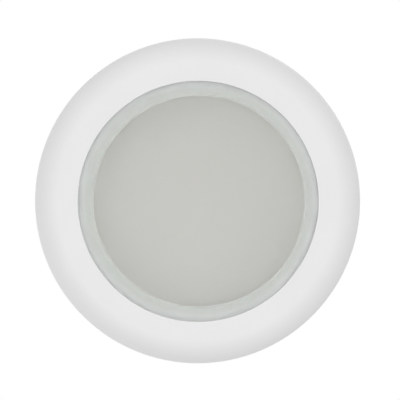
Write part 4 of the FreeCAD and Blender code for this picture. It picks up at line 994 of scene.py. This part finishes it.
# %% Drawn and plated metals
def drawn_metal(slot, colour, roughness, lines=(1.0, 1.0, 0.06), size=0.25, edge=0.15):
    tree, shader, edges = start_finish(slot, roughness, metallic=1.0, edge=edge)
    streaks = placed_group(tree, DRAWN_LINES, X=lines[0], Y=lines[1], Z=lines[2], Size=size)["Value"]
    cloud = placed_group(tree, FINE_GRAIN, Size=0.2, Detail=2.0)["Cloud"]
    tone = mixed(tree, cloud, shade(colour, 0.82), colour)
    tone = mixed(tree, maths(tree, "MULTIPLY", streaks, 0.35), tone, shade(colour, 0.75))
    worn = worn_mask(tree, edges, 0.5, 1.2)
    tone = mixed(tree, maths(tree, "MULTIPLY", worn, 0.7), tone, shade(colour, 1.25))
    rough = maths(tree, "MULTIPLY_ADD", cloud, 0.14, roughness - 0.05)
    give(tree, shader, tone, maths(tree, "MULTIPLY_ADD", streaks, 0.08, rough))
    relief(tree, shader, edges, streaks, 0.006)


drawn_metal("zinc_steel", screen(176, 179, 183), 0.36)
drawn_metal("bright_screw", screen(192, 190, 184), 0.26, lines=(1, 1, 1), size=0.4, edge=0.08)
drawn_metal("spring_steel", screen(138, 138, 140), 0.32, size=0.18)
drawn_metal("terminal_steel", screen(190, 180, 150), 0.34, lines=(1, 1, 1), edge=0.08)
print("drawn metals: 4")


# %% Cast heat sink
def cast_heatsink():
    tree, shader, edges = start_finish("cast_heatsink", 0.5, metallic=1.0, edge=0.35)
    skin = placed_group(tree, CAST_SKIN, Size=0.8)
    base = screen(158, 160, 163)
    tone = mixed(tree, skin["Flow"], shade(base, 0.78), base)
    worn = worn_mask(tree, edges, 0.75, 1.8)
    tone = mixed(tree, maths(tree, "MULTIPLY", worn, 0.7), tone, screen(196, 198, 200))
    dust = dust_mask(tree, 0.3)
    rough = maths(tree, "MULTIPLY_ADD", skin["Flow"], 0.1, 0.42)
    give(tree, shader, mixed(tree, dust, tone, DUST), maths(tree, "MULTIPLY_ADD", dust, 0.4, rough))
    tree.links.new(maths(tree, "SUBTRACT", 1.0, dust), shader.inputs["Metallic"])
    relief(tree, shader, edges, skin["Height"], 0.05)


cast_heatsink()
print("heat sink base colour:", [round(v, 2) for v in screen(158, 160, 163)[:3]])

# %% [markdown]
# ### The driver's parts and the light source
# These are closed in, but whoever takes the lamp apart should find them, so each has its own look:
# a green board with copper lines, a sleeved capacitor with a bare top, ferrite, and the phosphor that
# covers the diodes. Real phosphor is pale yellow. Here it is nearly white, because the middle of the
# photograph's light is white.

# %% Board, capacitor, ferrite and chip
def circuit_board():
    tree, shader, edges = start_finish("circuit_board", 0.35, edge=0.1)
    lines = add(tree, "TexBrick", {"Vector": in_mm(tree), "Scale": 0.45, "Mortar Size": 0.035}).outputs["Fac"]
    grain = placed_group(tree, FINE_GRAIN, Size=0.3, Detail=3.0)
    base = mixed(tree, grain["Cloud"], screen(20, 78, 44), screen(26, 92, 52))
    give(tree, shader, mixed(tree, maths(tree, "MULTIPLY", lines, 0.6), base, screen(64, 132, 72)))
    relief(tree, shader, edges, lines, 0.03)


def capacitor_sleeve():
    tree, shader, edges = start_finish("capacitor_sleeve", 0.35, edge=0.2)
    place = add(tree, "SeparateXYZ", {0: in_mm(tree)}).outputs
    top = span("driver_capacitor")[1].z
    bare = stretch(tree, place["Z"], top - 0.35, top - 0.25)
    grain = placed_group(tree, FINE_GRAIN, Size=0.4, Detail=2.0)
    sleeve = mixed(tree, grain["Cloud"], screen(26, 36, 84), screen(32, 44, 98))
    give(tree, shader, mixed(tree, bare, sleeve, screen(190, 192, 194)))
    tree.links.new(bare, shader.inputs["Metallic"])
    relief(tree, shader, edges, grain["Value"], 0.01)


circuit_board()
capacitor_sleeve()
moulded("ferrite", screen(56, 55, 56), 0.6, grain=0.25, depth=0.03, dust=0.0, pale=1.6)
moulded("chip_black", screen(34, 34, 36), 0.55, grain=0.12, dust=0.0, pale=1.4)
print("driver finishes: 4")


# %% Light source
PHOSPHOR_TONE = (244, 244, 244)


def phosphor():
    tree, shader, edges = start_finish("phosphor", 0.45, edge=0.1)
    place = in_mm(tree)
    dies = add(tree, "TexVoronoi", {"Vector": place, "Scale": 1.05, "Randomness": 0.0}).outputs["Distance"]
    mask = stretch(tree, dies, 0.18, 0.42)
    grain = placed_group(tree, FINE_GRAIN, Size=0.2, Detail=3.0)
    base = screen(*PHOSPHOR_TONE)
    colour = mixed(tree, mask, shade(base, 0.92), base)
    give(tree, shader, mixed(tree, maths(tree, "MULTIPLY", grain["Cloud"], 0.3), colour, shade(base, 0.95)))
    relief(tree, shader, edges, grain["Value"], 0.01)


phosphor()
moulded("led_board", screen(226, 227, 224), 0.35, grain=0.2, depth=0.008, dust=0.0)
print("finishes in all:", len(finishes))

# %% [markdown]
# ## Every piece takes its finish
# The record names a slot for each piece. A node that still shows keeps its shape, and its material
# slot gets the finish of the same name. Each new piece gets the finish of the slot that it stands for.

# %% Assign the finishes
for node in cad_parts.values():
    for slot in node.material_slots:
        slot.material = finishes[slot.material.name.split(".")[0]]
for piece, slot_name in made_pieces.items():
    piece.data.materials.append(finishes[slot_name])
print("new pieces:", len(made_pieces), "nodes:", len(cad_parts))

# %% [markdown]
# ## Light and background
# The photograph is a cut-out on white, lit softly from where the camera stands: the bezel's flat face
# is brightest, and its roll falls off a little. So the world is an even grey that looks white only to
# the camera, to reflections and through glass, and a wide lamp shines up from below. Two more lamps
# stand above, for the parts over the board.

# %% World and lamps
WORLD_LEVEL = 0.62
FROM_BELOW = 0.36


def white_surroundings():
    world = bpy.data.worlds.new("white surroundings")
    world.use_nodes = True
    tree = world.node_tree
    tree.nodes.clear()
    light = add(tree, "Background", {"Color": (1, 1, 1, 1), "Strength": WORLD_LEVEL})
    seen = add(tree, "Background", {"Color": (1, 1, 1, 1), "Strength": 1.0})
    path = add(tree, "LightPath").outputs
    looks = maths(tree, "MAXIMUM", path["Is Camera Ray"], path["Is Glossy Ray"])
    looks = maths(tree, "MAXIMUM", looks, path["Is Transmission Ray"])
    both = add(tree, "MixShader", {0: looks, 1: light.outputs[0], 2: seen.outputs[0]})
    add(tree, "OutputWorld", {"Surface": both.outputs[0]})
    bpy.context.scene.world = world


def soft_lamp(name, place, target, size, level):
    """A square lamp that adds the level, where 1 shows a white as white, on a face turned to it."""
    way = Vector(place) - Vector(target)
    data = bpy.data.lights.new(name, "AREA")
    data.shape = "SQUARE"
    data.size = size
    data.energy = level * math.pi ** 2 * way.length_squared
    lamp = bpy.data.objects.new(name, data)
    bpy.context.scene.collection.objects.link(lamp)
    lamp.location = place
    lamp.rotation_euler = way.to_track_quat("Z", "Y").to_euler()
    lamp.visible_camera = False
    lamp.visible_glossy = False


white_surroundings()
middle = (0.0, 0.0, 0.03)
soft_lamp("from_below", (-0.02, -0.12, -1.5), (0, 0, 0), 0.9, FROM_BELOW)
soft_lamp("key_above", (0.45, -0.55, 1.4), middle, 0.5, 0.5)
soft_lamp("fill_above", (-0.8, 0.5, 1.1), middle, 0.8, 0.2)
print("world level", WORLD_LEVEL, "lamp from below", FROM_BELOW)

# %% [markdown]
# ## The floor
# Seen from above, the lamp stands face down on a pale floor that keeps its shadow and fades to white.
# From below the floor has to vanish, because the camera looks up through it. So its material is only
# there for camera rays that meet its upper side, near the object, and is clear for all other rays.

# %% Pale floor
FLOOR_FADE = (0.10, 0.42)        # distances from the axis between which the floor fades out, in metres


def pale_floor():
    data = bmesh.new()
    bmesh.ops.create_circle(data, cap_ends=True, segments=96, radius=0.6)
    for vert in data.verts:
        vert.co.z = cad_box[0].z - 0.00005
    floor = piece_from("floor", data)
    if floor.data.polygons[0].normal.z < 0:
        floor.data.flip_normals()
    material = bpy.data.materials.new("pale_floor")
    material.use_nodes = True
    tree = material.node_tree
    tree.nodes.clear()
    place = add(tree, "TexCoord").outputs["Object"]
    grain = noise(tree, place, 9.0, 3.0, 0.5)
    tone = mixed(tree, grain, (0.91, 0.91, 0.91, 1), (0.95, 0.95, 0.95, 1))
    paint = add(tree, "BsdfDiffuse", {"Color": tone})
    clear = add(tree, "BsdfTransparent")
    seen = maths(tree, "SUBTRACT", add(tree, "LightPath").outputs["Is Camera Ray"],
                 add(tree, "NewGeometry").outputs["Backfacing"], clamp=True)
    away = add(tree, "VectorMath", {0: place}, operation="LENGTH").outputs["Value"]
    near = maths(tree, "SUBTRACT", 1.0, stretch(tree, away, *FLOOR_FADE))
    share = maths(tree, "MULTIPLY", seen, near)
    both = add(tree, "MixShader", {0: share, 1: clear.outputs[0], 2: paint.outputs[0]})
    add(tree, "OutputMaterial", {"Surface": both.outputs[0]})
    floor.data.materials.append(material)
    return floor


floor = pale_floor()
print("floor at mm:", round(floor.data.vertices[0].co.z / MM, 2))

# %% [markdown]
# ## Colour settings and the last measurements
# The view stays plain, so a colour looks as it is written. The CAD model's box is printed; the
# dressed lamp should stay inside it.

# %% Finish
bpy.context.scene.view_settings.view_transform = "Standard"
print("CAD box mm:", [[round(v / MM, 2) for v in corner] for corner in cad_box])
